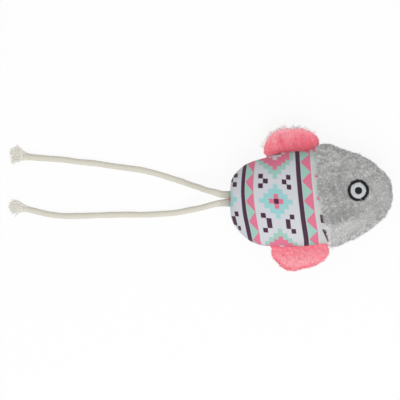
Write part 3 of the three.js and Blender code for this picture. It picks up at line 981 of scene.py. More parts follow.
@dataclass
class Pile:
    """Short cut pile on a surface: strands that lean with the nap and in small clumps."""

    plush: Plush
    height: float = 1.35
    width: float = 0.2
    lean: float = 3.0
    clump: float = 1.2  # width of a clump, in mm
    curl: float = 1.0  # how much the clumps turn the strands
    spread: float = 0.27  # how much each strand turns by itself
    upright: float = 0.02  # share of strands that stand up from the rest
    mottle: float = 0.2  # how much the tone changes from one small patch to the next
    grain: float = 0.1  # and from one strand to the next
    seed: int = 1

    def roots(self, grid: Points, count: int) -> tuple[Points, Points]:
        """Places spread evenly over a grid, with their normals.

        Args:
            grid: points of the surface.
            count: how many.

        Returns:
            Places and unit normals.
        """
        rng = np.random.default_rng(self.seed)
        a, b, c, d = grid[:-1, :-1], grid[:-1, 1:], grid[1:, :-1], grid[1:, 1:]
        area = np.linalg.norm(np.cross(b - c, d - a), axis=-1).ravel()
        cell = rng.choice(area.size, count, p=area / area.sum())
        i, j = np.unravel_index(cell, a.shape[:2])
        u, v = rng.random(count)[:, None], rng.random(count)[:, None]
        normals = normals_of(grid)

        def read(values: Points) -> Points:
            """Values of the grid at the chosen places of its cells."""
            top = values[i, j] * (1 - v) + values[i, j + 1] * v
            return top * (1 - u) + (values[i + 1, j] * (1 - v) + values[i + 1, j + 1] * v) * u

        return read(grid), unit(read(normals))

    def strands(
        self,
        name: str,
        roots: Points,
        normals: Points,
        nap: Points,
        scale: np.ndarray | float = 1.0,
        shade: np.ndarray | float = 0.0,
    ) -> Object:
        """Makes the strands as one piece.

        Args:
            name: of the piece.
            roots: where they start.
            normals: of the surface there.
            nap: the direction in which the pile is brushed, one for all or one for each.
            scale: of each strand's height.
            shade: painted light or shade, added to each strand's tone.

        Returns:
            The piece, with its material.
        """
        rng = np.random.default_rng(self.seed + 1)
        count = len(roots)
        clump = np.stack([wander(roots, self.clump, self.seed + k) for k in (2, 3, 4)], -1)
        swirl = np.stack([wander(roots, self.clump * 4, self.seed + k) for k in (5, 6, 7)], -1)
        stray = rng.normal(size=(count, 3))
        leaning = nap + self.curl * (0.3 * clump + 0.22 * swirl) + self.spread * stray
        leaning -= (leaning * normals).sum(1)[:, None] * normals
        height = self.height * scale * (1 + 0.16 * clump[:, 0] + 0.12 * rng.normal(size=count))
        height = np.clip(height, 0.3 * self.height, 2.6 * self.height)[:, None]
        lean = np.where(rng.random(count) < self.upright, 0.25, 1.0)[:, None] * self.lean
        away = unit(normals + lean * leaning)
        start = unit(normals + 0.35 * lean * leaning)
        middle = roots + 0.5 * height * start
        tip = middle + 0.5 * height * away
        side = np.cross(away, normals) + 0.25 * np.cross(away, stray)
        side *= self.width / 2 / np.linalg.norm(side, axis=1)[:, None]
        # A strand's front faces outwards, as its shading does
        side *= np.where((np.cross(side, away) * normals).sum(1) < 0, -1, 1)[:, None]
        corners = [roots - side, roots + side, middle - 0.9 * side, middle + 0.9 * side, tip]
        points = np.stack(corners, 1)
        points[..., 2] = np.maximum(points[..., 2], -SEAM_HEIGHT + 0.05)
        first = 5 * np.arange(count)[:, None]
        quads, ends = first + [0, 1, 3, 2], first + [2, 3, 4]
        piece = mesh_object(name, to_row(points), quads.tolist() + ends.tolist())
        patch = wander(roots, 1.9, self.seed + 8)
        # Pile darkened by painted shade shows its small patches more, pile lightened by painted
        # light less
        mottle = self.mottle * (1 - 1.5 * np.clip(shade, 0, 0.4) + 3.5 * np.clip(-shade, 0, 0.4))
        tone = 0.5 + shade + mottle * patch + self.grain * (clump[:, 1] + rng.normal(size=count))
        tone = np.clip(tone, 0.03, 0.97)[:, None]
        # The map holds a strand's tone across and the height along it up
        across = np.array([-0.012, 0.012, -0.01, 0.01, 0.0])[None]
        up = np.array([0.02, 0.02, 0.55, 0.55, 0.98])[None]
        set_uv(piece, "OFBake", np.stack(np.broadcast_arrays(tone + across, up), -1))
        piece.data.materials.append(self.plush.pile_material())
        return piece


@dataclass
class Studio:
    """Camera straight above the toy, a soft lamp, an even sky and a white floor."""

    lens: float = 280.0
    frame_width: float = 0.24  # what the photograph takes in at the height of the long seam
    centre: tuple[float, float] = (-0.06718, -0.00112)
    key_place: tuple[float, float, float] = (0.03, -0.5, 0.95)
    key_size: float = 0.8
    key_strength: float = 6.1
    sky: float = 0.6

    def camera(self) -> None:
        """Makes the camera at the photograph's viewing angle."""
        data = bpy.data.cameras.new("camera")
        data.lens = self.lens
        data.sensor_width = 36.0
        data.clip_end = 20.0
        camera = bpy.data.objects.new("camera", data)
        distance = self.frame_width / data.sensor_width * data.lens
        camera.location = (*self.centre, SEAM_HEIGHT * MM + distance)
        bpy.context.scene.collection.objects.link(camera)
        bpy.context.scene.camera = camera

    def lamp(self) -> None:
        """Hangs a square soft lamp that points at the toy."""
        data = bpy.data.lights.new("key_lamp", "AREA")
        data.size = self.key_size
        data.energy = self.key_strength
        lamp = bpy.data.objects.new("key_lamp", data)
        lamp.location = self.key_place
        towards = Vector((0, 0, 0.01)) - Vector(self.key_place)
        lamp.rotation_euler = towards.to_track_quat("-Z", "Y").to_euler()
        bpy.context.scene.collection.objects.link(lamp)

    def is_seen(self, tree: NodeTree) -> NodeSocket:
        """A signal that is 1 for what the camera sees, straight or in a gloss.

        Args:
            tree: the node tree.

        Returns:
            The signal's socket.
        """
        rays = add_node(tree, "ShaderNodeLightPath", {}).outputs
        names = ("Is Camera Ray", "Is Glossy Ray", "Is Transmission Ray")
        known = {name: rays[name] for name in names}
        steps = (
            ("either", "MAXIMUM", "Is Camera Ray", "Is Glossy Ray"),
            ("seen", "MAXIMUM", "either", "Is Transmission Ray"),
        )
        return work_out(tree, known, steps)["seen"]

    def floor(self) -> None:
        """Adds the white floor, which keeps a faint shadow of the toy."""
        reach = 3.0
        corners = [(-reach, -reach, 0), (reach, -reach, 0), (reach, reach, 0), (-reach, reach, 0)]
        floor = mesh_object("floor", np.array(corners), [(0, 1, 2, 3)], smooth=False)
        material, tree, shader = new_material("white_sweep")
        shader.inputs["Base Color"].default_value = (0.93, 0.93, 0.93, 1)
        shader.inputs["Roughness"].default_value = 0.9
        shader.inputs["Specular IOR Level"].default_value = 0.0
        glow = add_node(tree, "ShaderNodeEmission", {"Strength": 1.0})
        known = {"seen": self.is_seen(tree)}
        share = work_out(tree, known, (("share", "MULTIPLY", "seen", 0.9),))["share"]
        mixed = add_node(tree, "ShaderNodeMixShader", {}, share, shader.outputs[0], glow.outputs[0])
        tree.links.new(mixed.outputs[0], find_node(tree, "OUTPUT_MATERIAL").inputs[0])
        floor.data.materials.append(material)

    def world(self) -> None:
        """Adds an even sky that looks white."""
        world = bpy.data.worlds.new("sky")
        world.use_nodes = True
        tree = world.node_tree
        background = find_node(tree, "BACKGROUND")
        background.inputs["Color"].default_value = (1, 1, 1, 1)
        known = {"seen": self.is_seen(tree)}
        steps = (("strength", "MULTIPLY_ADD", "seen", 1 - self.sky, self.sky),)
        tree.links.new(work_out(tree, known, steps)["strength"], background.inputs["Strength"])
        bpy.context.scene.world = world

    def build(self) -> None:
        """Makes the camera, the floor, the sky and the lamp."""
        scene = bpy.context.scene
        scene.view_settings.view_transform = "Standard"
        self.camera()
        self.floor()
        self.world()
        self.lamp()


# Both cords: behind the tail seam, across for the upper and the lower one, above the floor
CORD_ROUTES = (
    (0.6, 1.15, -3.35, 16.3),
    (5.4, 1.6, -3.6, 16.1),
    (10.2, 3, -4.4, 14.6),
    (15, 4.2, -5.7, 11.7),
    (19.8, 6, -6.9, 8.4),
    (24.6, 7.5, -7.8, 5.3),
    (29.4, 9.3, -8.8, 3.1),
    (34.2, 10.8, -9.6, 2.1),
    (43.8, 13.8, -10.3, 1.8),
    (53.4, 16.2, -10.7, 1.8),
    (63, 17.6, -10.6, 1.8),
    (72.6, 18.9, -10.8, 1.8),
    (82.2, 20.4, -11.1, 1.8),
    (91.8, 21.3, -11.4, 1.8),
    (101.4, 22.6, -11.4, 1.8),
    (111, 23.3, -10.2, 1.8),
    (120.6, 24.1, -7.9, 1.8),
    (125.4, 24.5, -6.8, 1.8),
)
# Outline of each fray from one side to the other, and its stray yarns: further out, across, up
UPPER_FRAY = (
    (
        (1.8, 4.4, 0.2), (3.9, 5.9, 0.5), (6.2, 4.7, -0.3), (7.4, 2.6, 0.4), (7.4, 0.6, 0.2),
        (6.7, -1.3, 0.2), (6.4, -3.1, -0.3), (4.4, -2.6, 0.2), (2.4, -1.9, 0),
    ),
    ((7.6, -2.3, -0.3), (6.4, -4.6, 0.2), (6.9, -4.0, 0)),
)
LOWER_FRAY = (
    (
        (1.8, 3.2, 0.2), (4.6, 4.4, 0.4), (6.8, 3.4, -0.3), (7.8, 2.3, 0.3),
        (7.9, -0.1, 0.1), (6.5, -1.8, -0.3), (3.6, -2.1, 0.1),
    ),
    ((7.0, -3.7, -0.3), (6.2, -2.9, 0), (4.9, -4.9, 0.2), (4.6, -4.2, 0), (6.7, 5.0, 0.4)),
)


def even_path(points: Points, step: float) -> Points:
    """Points a step apart on a smooth curve through others.

    Args:
        points: on the curve.
        step: between the new points, in mm.

    Returns:
        The new points.
    """
    rows = np.asarray(points, float)
    fine = smooth_rows(rows, np.linspace(0, len(rows) - 1, 40 * len(rows)))
    walked = walked_along(fine)
    places = np.linspace(0, walked[-1], max(3, int(walked[-1] / step)))
    return np.stack([np.interp(places, walked, fine[:, k]) for k in range(3)], -1)


def frames_along(path: Points) -> tuple[Points, Points]:
    """Two directions square to a path at each of its points, without twist.

    Args:
        path: its points.

    Returns:
        The directions to the side and up.
    """
    ahead = unit(np.gradient(path, axis=0))
    first = np.cross(ahead[0], [0.0, 0.0, 1.0])
    if np.linalg.norm(first) < 1e-3:
        first = np.cross(ahead[0], [0.0, 1.0, 0.0])
    sides = []
    for direction in ahead:
        first = first - (first @ direction) * direction
        first = first / np.linalg.norm(first)
        sides.append(first)
    side = np.array(sides)
    return side, np.cross(side, ahead)


def tube(path: Points, radius: np.ndarray, sides: int) -> tuple[Points, list]:
    """A closed tube round a path.

    Args:
        path: its middle line.
        radius: at each point of the path, or at each point and side.
        sides: points round it.

    Returns:
        Its points and faces.
    """
    side, up = frames_along(path)
    turn = np.linspace(0, 2 * np.pi, sides, endpoint=False)
    radius = np.asarray(radius, float)
    radius = np.broadcast_to(radius[:, None] if radius.ndim == 1 else radius, (len(path), sides))
    ring = np.cos(turn)[None, :, None] * side[:, None] + np.sin(turn)[None, :, None] * up[:, None]
    points = (path[:, None] + radius[..., None] * ring).reshape(-1, 3)
    return points, closed_faces(len(path), sides, flip=True)


def bundle(name: str, tubes: list, above: float = SEAM_HEIGHT) -> Object:
    """Makes one piece from several tubes.

    Args:
        name: of the piece.
        tubes: their points and faces.
        above: height of the points' zero over the floor.

    Returns:
        The piece.
    """
    points, faces, first = [], [], 0
    for some_points, some_faces in tubes:
        points.append(some_points)
        faces += [[first + k for k in face] for face in some_faces]
        first += len(some_points)
    return mesh_object(name, to_row(np.concatenate(points), above), faces)


@dataclass
class TailCord:
    """One free end of the doubled cotton cord, braided, with a frayed end."""

    name: str
    column: int  # of CORD_ROUTES, with how far across the cord lies
    tips: tuple
    flare: float  # how far before its end the cord begins to spread, in mm
    seed: int
    diameter: float = 3.5
    carriers: int = 4  # yarns of the braid in each direction
    lay: float = 9.0  # length of one turn of a yarn
    inside: float = 2.0  # how far the cord goes on inside the tail seam
    sides: int = 28
    yarns: int = 300
    yarn_radius: float = 0.23
    bundle_radius: float = 1.65  # of all yarns together where the fray starts

    def path(self) -> Points:
        """The cord's middle line, from inside the tail seam to the frayed end.

        Returns:
            Points 0.4 mm apart, in the toy's frame with its zero on the floor.
        """
        route = np.array([(TAIL_X - row[0], row[self.column], row[3]) for row in CORD_ROUTES])
        route[0, 0] += self.inside
        return even_path(route, 0.4)

    def build(self, finish: Material, combed: Material) -> None:
        """Makes the cord and its frayed end.

        Args:
            finish: material of the braid.
            combed: material of the loose fibres.
        """
        path = self.path()
        walked = np.linspace(0, 1, len(path)) * self.length(path)
        turn = np.linspace(0, 2 * np.pi, self.sides, endpoint=False)[None]
        along = 2 * np.pi * walked[:, None] / self.lay
        one = np.abs(np.cos(self.carriers / 2 * (turn + along)))
        other = np.abs(np.cos(self.carriers / 2 * (turn - along)))
        braid = np.maximum(one, other) ** 0.7
        rng = np.random.default_rng(self.seed)
        # The braid opens towards the frayed end
        loose = 1 + 0.25 * np.exp(-(walked[-1] - walked) / (1.0 + self.flare))[:, None]
        uneven = 1 + 0.02 * wander(path, 9.0, self.seed)[:, None]
        radius = (self.diameter / 2 - 0.16 + 0.24 * braid) * loose * uneven
        # The seam squeezes the cord flat and wide
        behind = np.maximum(TAIL_X - path[:, :1], 0)
        squeezed = fade(behind, 7.5)
        radius = radius * (1 + squeezed * (0.34 * np.cos(turn) ** 2 - 0.3 * np.sin(turn) ** 2))
        points, faces = tube(path, radius, self.sides)
        points[:, 2] = np.maximum(points[:, 2], 0.03)
        cord = mesh_object("tail_cord_" + self.name + "_braid", to_row(points, 0.0), faces)
        cord.data.materials.append(finish)
        report(cord, "cotton_cord", "tail_cord_" + self.name)
        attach(cord, "toy")
        fray = self.fray(path, rng)
        fray.data.materials.append(combed)
        report(fray, "cotton_cord", "tail_fray_" + self.name)
        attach(fray, "toy")
        self.length(path) * MM

    def length(self, path: Points) -> float:
        """Length of a path in mm."""
        return float(np.linalg.norm(np.diff(path, axis=0), axis=1).sum())

    def fray(self, path: Points, rng: np.random.Generator) -> Object:
        """Makes the yarns that spread from the end of the cord.

        Args:
            path: the cord's middle line.
            rng: for the places and lengths of the yarns.

        Returns:
            The piece, without its material.
        """
        end, before = path[-1], path[-8]
        onwards = (end - before) / np.linalg.norm(end - before)
        across = np.cross(onwards, [0, 0, 1.0])
        outline, strays = (
            np.array([(-far, side, up) for far, side, up in tips]) for tips in self.tips
        )
        tubes = []
        for number in range(self.yarns):
            turn, out = rng.uniform(0, 2 * np.pi), math.sqrt(rng.uniform(0, 1)) * self.bundle_radius
            aside, up = out * math.cos(turn), out * math.sin(turn)
            start = end - onwards * (self.flare + rng.uniform(0.2, 2.0))
            root = start + across * aside + np.array([0, 0, up])
            share = 0.5 - 0.5 * aside / self.bundle_radius
            place = share * (len(outline) - 1) + rng.normal(0, 0.7)
            reach = smooth_rows(outline, np.array([np.clip(place, 0, len(outline) - 1)]))[0]
            reach = reach * (1.08 - 0.55 * rng.uniform(0, 1) ** 2.2)
            if number < 2 * len(strays):
                reach = strays[number % len(strays)]
            tip = end + reach + [0, 0, 0.9 * up] + rng.normal(size=3) * [0.25, 0.3, 0.3]
            waist = root + onwards * 0.5 * (self.flare + 2.5) + across * 0.35 * aside
            line = even_path(np.array([root, waist, tip]), 0.9)
            waves = [wander(line, 2.2, int(rng.integers(9999))) for _ in range(3)]
            line = line + np.linspace(0, 0.3, len(line))[:, None] * np.stack(waves, -1)
            line[:, 2] = np.maximum(line[:, 2], self.yarn_radius + 0.02)
            radius = self.yarn_radius * np.linspace(1.15, 0.6, len(line))
            tubes.append(tube(line, radius, 5))
        return bundle("tail_fray_" + self.name + "_yarns", tubes, 0.0)


@dataclass
class BodyCovers:
    """Printed cloth over the body, one panel on each flank."""

    form: StuffedForm
    finish: PrintedTwill
    thickness: float = 1.0
    rows: int = 128
    columns: int = 128
    seam_dip: float = 0.5
    stitch: float = 3.2  # spacing of the stitches in the long seam
    reference_y: float = -2.7  # line that the print's middle row runs along
    reference_x: float = -22.1  # where the middle of a band crosses it

    def places(self, angle: np.ndarray) -> np.ndarray:
        """Places of the grid's points: tail seam to neck seam on each line along the toy.

        Args:
            angle: of each line, round the section.

        Returns:
            The places, a row for each step along the toy.
        """
        fine = np.linspace(0, self.form.neck_at(np.array([np.pi / 2]))[0], 600)
        walked = walked_along(self.form.surface(fine, np.full(600, np.pi / 2), 0.0))
        even = np.interp(np.linspace(0, walked[-1], self.rows + 1), walked, fine) / fine[-1]
        return even[:, None] * self.form.neck_at(angle)[None]

    def print_places(self, place: np.ndarray, angle: np.ndarray, points: Points) -> np.ndarray:
        """Where each point of the cloth lies in the print, in print units.

        Args:
            place: where along the toy.
            angle: round the section, as on the upper flank.
            points: the points themselves.

        Returns:
            Along the toy and the row across it.
        """
        fine = np.linspace(0, self.form.last, 3000)
        walked = self.form.crown_walk(fine)
        passed = np.interp(self.form.place_of(self.reference_x), fine, walked)
        along = np.interp(place, fine, walked) - passed
        # The bands lean and bow, more towards the tail and there less again at the lower edge
        below = self.reference_y - points[..., 1]
        share = np.clip((-4.5 - points[..., 0]) / 34.6, 0, 1.3)
        bend = 0.00133 + 0.0062 * share**1.9
        along = along - 0.105 * below - bend * below**2
        along = along + 1.1 * np.clip((below - 9) / 14, 0, 1) ** 2 * np.clip(1.4 * share, 0, 1)
        # The cloth is drawn in beside the tail seam and gives a little in two places further on
        along = along - 1.3 * fade(points[..., 0] - TAIL_X - 3.4, 2.6)
        along = along + 0.85 * fade(along + 11.0, 6.0)
        along = along + 0.6 * fade(along - 18.0, 6.0) * np.clip(1 - below / 22, 0, 1)
        # Rows are counted round a section flatter than the form, as the cloth is stretched over it
        _, middle, half, crown = self.form.read(place)
        last = 399
        turns = np.linspace(0, np.pi, last + 1)
        steps = np.hypot(half[..., None] * np.sin(turns), 0.6 * crown[..., None] * np.cos(turns))
        round_it = np.cumsum(steps, -1) * (turns[1] - turns[0])

        def walk_to(turn: np.ndarray) -> np.ndarray:
            """Distance walked round each section up to one of the turns."""
            return np.take_along_axis(round_it, turn[..., None], -1)[..., 0]

        start = np.arccos(np.clip((self.reference_y - middle) / np.maximum(half, 1e-6), -1, 1))
        at = np.clip(angle / np.pi * last, 0, last)
        low = np.minimum(at.astype(int), last - 1)
        down = walk_to(low) + (walk_to(low + 1) - walk_to(low)) * (at - low)
        down = down - walk_to(np.clip(start / np.pi * last, 0, last - 1).astype(int))
        row = (down - 0.055 * (points[..., 0] - self.reference_x)) / self.finish.row_pitch
        return np.stack([along / self.finish.unit, row], -1)

    def panel(self, flank: Flank, finish: Material) -> None:
        """Makes the panel of one flank.

        Args:
            flank: which one.
            finish: the printed cloth.
        """
        angle = np.linspace(0, np.pi, self.columns + 1)
        place = self.places(angle)
        turned = np.broadcast_to(angle, place.shape)
        grid = self.form.surface(place, flank.value * turned, 0.0)
        normals = outward(normals_of(grid), flank)
        _, _, _, crown = self.form.read(place)
        # About how far each point is from the long seam and the neck seam, in mm
        edge = np.minimum(turned, np.pi - turned) * crown
        neck = (self.form.neck_at(angle)[None] - place) / place.max() * 56
        seam_walk = place / self.form.last * 2.2 * self.form.length
        # The cloth turns into the seam, and its stitches gather it beside the seam
        tuck = fade(edge, 0.7)
        pull = np.exp(-edge / 2.6) * (1 - tuck)
        gather = 0.5 + 0.5 * np.cos(2 * np.pi * seam_walk / self.stitch + 0.7 * wander(grid, 9, 21))
        at_tail = np.clip(place / 1.5, 0.25, 1)
        move = -self.seam_dip * tuck * (0.8 + 0.2 * gather) * at_tail
        move = move - 0.16 * pull * gather
        move = move - 0.7 * fade(neck, 1.3)
        move = move + 0.12 * wander(grid, 16, 31) * (1 - tuck)
        grid = grid + normals * move[..., None]
        grid[..., 2] = flattened(grid[..., 2])
        faces = grid_faces(*place.shape, flip=flank is Flank.UPPER)
        name = f"body_cover_{flank.name.lower()}"
        piece = mesh_object(name + "_cloth", to_row(grid), faces.tolist())
        set_uv(piece, "cloth", self.print_places(place, turned, grid))
        thicken(piece, self.thickness)
        piece.data.materials.append(finish)
        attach(piece, "toy")
        report(piece, "printed_cloth", name)

    def build(self) -> None:
        """Makes both panels."""
        finish = self.finish.material()
        for flank in Flank:
            self.panel(flank, finish)


@dataclass
class HeadCovers:
    """Grey plush over the head, one panel on each flank."""

    form: StuffedForm
    finish: Plush
    thickness: float = 0.9
    rows: int = 92
    columns: int = 120
    back_grow: float = 0.5  # of the knitted back over the form, under the pile
    strands: int = 27000
    fringe: int = 2400  # longer strands that hang over the print at the neck seam
    # The round without pile under an eye: middle and radius
    eye: tuple[float, float, float] = (27.2, 4.0, 6.2)
    # The soft fold below and behind the eye: middle, half its width and length, depth
    fold: tuple = (18.5, -8.5, 3.6, 8.0, 1.15)
    # Where the pile was brushed, with painted light or shade: middle, radii, tone, lean to the
    # lower edge
    nap_and_painted_shade: tuple = (
        (14.9, 2.4, 7.5, 14.0, -0.3, 0.5),
        (12.0, -12.5, 5.5, 4.5, -0.6, 0.7),
        (21.0, -9.2, 7.0, 3.8, -0.95, 0.9),
        (21.0, -22.0, 14.0, 9.0, 0.75, -0.7),
        (33.0, -12.0, 9.0, 7.0, 0.12, -0.2),
        (41.5, 4.0, 5.0, 11.0, 0.3, -0.1),
        (20.0, 21.0, 14.0, 6.0, 0.02, -0.3),
        (23.9, 12.2, 4.5, 0.8, 0.45, 0.0),
        (10.8, -2.0, 4.5, 11.0, -0.22, 0.0),
    )
    # Where the pile stands up from the outline in a tuft: middle and radius
    tufts: tuple = ((28.2, 26.2, 2.0), (43.6, -11.0, 3.2))

    def shaped(self, flank: Flank) -> tuple[Points, Points]:
        """The knitted back of one flank with its dents, from the neck seam to the nose.

        Args:
            flank: which one.

        Returns:
            Its points and outward normals.
        """
        angle = np.linspace(0, np.pi, self.columns + 1)
        start = self.form.neck_at(angle, shift=-0.3)
        place = start + (self.form.last - start) * np.linspace(0, 1, self.rows + 1)[:, None]
        turned = np.broadcast_to(angle, place.shape)
        grid = self.form.surface(place, flank.value * turned, self.back_grow)
        normals = outward(normals_of(grid), flank)
        _, _, _, crown = self.form.read(place)
        edge = np.minimum(turned, np.pi - turned) * crown
        x, y = grid[..., 0], grid[..., 1]
        neck = x - grid[:1, :, 0]
        move = -0.35 * fade(edge, 0.8) * (place < self.form.last - 0.4)
        move = move - 0.35 * fade(neck, 1.5)
        move = move + 0.22 * wander(grid, 13, 41) + 0.1 * wander(grid, 5, 42)
        fold_x, fold_y, wide, long, deep = self.fold
        x, y = x - fold_x, y - fold_y
        across, along = x * 0.55 - y * 0.83, x * 0.83 + y * 0.55
        move = move - deep * np.exp(-((across / wide) ** 2) - (along / long) ** 2)
        grid = grid + normals * move[..., None]
        grid[..., 2] = flattened(grid[..., 2])
        return grid, normals

    def panel(self, flank: Flank, back: Material) -> None:
        """Makes the knitted back and the pile of one flank.

        Args:
            flank: which one.
            back: material of the knitted back.
        """
        grid, normals = self.shaped(flank)
        faces = grid_faces(*grid.shape[:2], flip=flank is Flank.UPPER)
        name = f"head_cover_{flank.name.lower()}"
        piece = mesh_object(name + "_back", to_row(grid), faces.tolist())
        thicken(piece, self.thickness)
        piece.data.materials.append(back)
        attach(piece, "toy")
        report(piece, "grey_plush", name)
        pile = Pile(self.finish, seed=100 + flank.value)
        roots, out = pile.roots(grid, self.strands)
        out = outward(out, flank)
        x, y, radius = self.eye
        clear = np.hypot(roots[:, 0] - x, roots[:, 1] - y) > radius
        roots, out = roots[clear], out[clear]
        # The fringe has its roots in the first rows beside the neck seam
        rng = np.random.default_rng(300 + flank.value)
        at = rng.uniform(0.04, 0.96, self.fringe) * self.columns
        low = at.astype(int)
        share = (at - low)[:, None]
        row = rng.integers(0, 3, self.fringe)
        hem = grid[row, low] * (1 - share) + grid[row, low + 1] * share
        whole, whole_out = np.concatenate([roots, hem]), np.concatenate([out, normals[row, low]])
        start = np.interp(whole[:, 1], grid[0, ::-1, 1], grid[0, ::-1, 0])
        rim = np.exp(-np.maximum(whole[:, 0] - start, 0) / 1.6)[:, None]
        shade, lie = np.zeros(len(whole)), np.zeros(len(whole))
        # Each zone adds painted light (tone over 0) or painted shade (under 0) to its strands, and
        # leans their nap
        for mid_x, mid_y, wide, tall, tone, lean in self.nap_and_painted_shade:
            away = ((whole[:, 0] - mid_x) / wide) ** 2 + ((whole[:, 1] - mid_y) / tall) ** 2
            shade, lie = shade + tone * np.exp(-away), lie + lean * np.exp(-away)
        nap = np.array([-0.5, 0.0, 0.0]) + rim * [-0.7, 0.0, 0.0]
        nap = nap - lie[:, None] * [0.0, 1.0, 0.0]
        long = np.concatenate([np.ones(len(roots)), rng.uniform(1.0, 2.2, self.fringe)])
        for mid_x, mid_y, reach in self.tufts:
            near = np.exp(-((whole[:, 0] - mid_x) ** 2 + (whole[:, 1] - mid_y) ** 2) / reach**2)
            nap, long = nap * (1 - near[:, None]), long * (1 + 1.3 * near)
        strands = pile.strands(name + "_pile", whole, whole_out, nap, long, shade)
        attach(strands, "toy")
        report(strands, "grey_plush")

    def build(self) -> None:
        """Makes both panels."""
        back = self.finish.back_material()
        for flank in Flank:
            self.panel(flank, back)


@dataclass
class Ear:
    """One plush ear: two layers sewn along their edge, caught in the long seam.

    Its own frame has x along the root and y out from the toy.
    """

    form: StuffedForm
    finish: Plush
    edge: Edge
    root_tail: float  # from the tail seam to the near end of the root, in mm
    root_length: float
    puff: float  # half the ear's greatest thickness, in mm
    outline: tuple
    reach: float = 16.4  # what 1 stands for in the outline, away from the toy
    root_taper: float = 1.3  # more makes the root thinner
    fold_clearance: float = 0.5  # from the long seam to the fold's axis
    root_inset: float = 0.9  # how far the root goes into the long seam
    root_lean: float = 0.0  # how much deeper at the far end of the root, as a share
    back_inset: float = 0.75  # of the knitted back inside the outline, under the pile
    crest: float = 0.0  # how far the pile alone makes up the outer edge, in mm
    along_steps: int = 90
    out_steps: int = 34
    thickness: float = 0.35  # of the knitted back
    press_grid: tuple[int, int] = (31, 15)  # points of a layer in the cloth simulation
    strands: int = 7500
    nap: float = 0.62  # how far the pile is brushed to the outer edge
    pale: Plush | None = None  # finish of the tips along the outer edge
    tip_strands: int = 1000
    tufts: int = 26

    def __post_init__(self) -> None:
        """Finds the ear's own frame, the long seam in it and the line of the fold."""
        fine = np.linspace(0, self.form.last, 4000)
        x, middle, half, _ = self.form.read(fine)
        y = middle + self.edge.value * half
        reach = (self.root_tail, self.root_tail + self.root_length)
        ends = [np.array([TAIL_X + d, np.interp(TAIL_X + d, x, y)]) for d in reach]
        start, end = ends if self.edge is Edge.UPPER else ends[::-1]
        self.start, chord = start, end - start
        self.span = float(np.hypot(*chord))
        self.turn = math.atan2(chord[1], chord[0])
        seam = np.stack([x, y], -1) - start
        c, s = math.cos(self.turn), math.sin(self.turn)
        local = np.stack([seam[:, 0] * c + seam[:, 1] * s, -seam[:, 0] * s + seam[:, 1] * c], -1)
        local = local[(local[:, 0] > -6) & (local[:, 0] < self.span + 6)]
        self.seam = local[np.argsort(local[:, 0])]
        inside = (self.seam[:, 0] > 0) & (self.seam[:, 0] < self.span)
        self.fold = max(0.0, self.seam[inside, 1].max()) + self.fold_clearance

    def to_toy(self, points: Points) -> Points:
        """Takes points from the ear's frame to the toy's frame.

        Args:
            points: in the ear's frame.

        Returns:
            The same points in the toy's frame.
        """
        c, s = math.cos(self.turn), math.sin(self.turn)
        x, y = points[..., 0], points[..., 1]
        moved = [x * c - y * s + self.start[0], x * s + y * c + self.start[1], points[..., 2]]
        return np.stack(moved, -1)

    def direction(self, vectors: Points) -> Points:
        """Turns directions of the ear's frame into the toy's."""
        return self.to_toy(vectors) - self.to_toy(np.zeros(3))

    def puff_at(self, out: np.ndarray) -> np.ndarray:
        """Thickness from the root to the outer edge.

        Args:
            out: places from 0 at the root to 1 at the edge.

        Returns:
            Shares of the greatest thickness.
        """

        def swell(place: np.ndarray | float) -> np.ndarray:
            """Thickness on its own scale."""
            return place**self.root_taper * np.sqrt(np.maximum(1 - place, 0))

        return swell(out) / swell(2 * self.root_taper / (2 * self.root_taper + 1))

    def layer(self, flank: Flank, inset: float) -> Points:
        """Points of one layer, from the root to the outer edge.

        Args:
            flank: the upper or the under layer.
            inset: how far inside the ear's outline, in mm.

        Returns:
            A grid in the ear's frame: along the root, out to the edge.
        """
        share = np.linspace(0, 1, self.along_steps + 1)
        rows = smooth_rows(np.array(self.outline, float), share * (len(self.outline) - 1))
        root_x = share * self.span
        deep = self.root_inset * (1 + self.root_lean * (share - 0.5))
        root = np.stack([root_x, np.interp(root_x, self.seam[:, 0], self.seam[:, 1]) - deep], -1)
        rim = rows * [self.span, self.reach]
        reach = np.linalg.norm(rim - root, axis=1)
        fatness = self.puff * reach / self.reach
        inset = inset + self.crest * np.exp(-(((share - 0.42) / 0.28) ** 4))
        short = np.clip(1 - inset / np.maximum(reach, 1e-6), 0.05, 1)
        middle = np.array([self.span / 2, 0.45 * self.reach])
        aim = middle - rim
        inner = rim + aim / np.linalg.norm(aim, axis=1)[:, None] * inset[:, None]
        inner = np.where((share > 0.0)[:, None] & (share < 1.0)[:, None], inner, rim)
        out = np.sin(np.linspace(0, np.pi / 2, self.out_steps + 1)) ** 0.9
        flat = root[:, None] + (inner - root)[:, None] * out[None, :, None]
        thinner = 1 - 0.5 * self.back_inset / self.puff
        z = fatness[:, None] * self.puff_at(out)[None] * short[:, None] * thinner
        return np.concatenate([flat, flank.value * z[..., None]], -1)

    def crease_at(self, out: np.ndarray) -> np.ndarray:
        """Place along the root of the upper ear's short crease, at each distance from the root."""
        return 11.2 - 0.15 * out

    def dents(self, grid: Points) -> np.ndarray:
        """How far each point of a layer stands out or lies in.

        Args:
            grid: points of the layer in the ear's frame.

        Returns:
            A move for each point, in mm.
        """
        x, y = grid[..., 0], grid[..., 1]
        move = 0.28 * wander(grid, 9, 51 + self.edge.value) + 0.1 * wander(grid, 4, 53)
        if self.edge is Edge.UPPER:
            move = move - 1.3 * (fade(x - self.crease_at(y), 1.1) * fade(y - 5.5, 5.0))
        return move

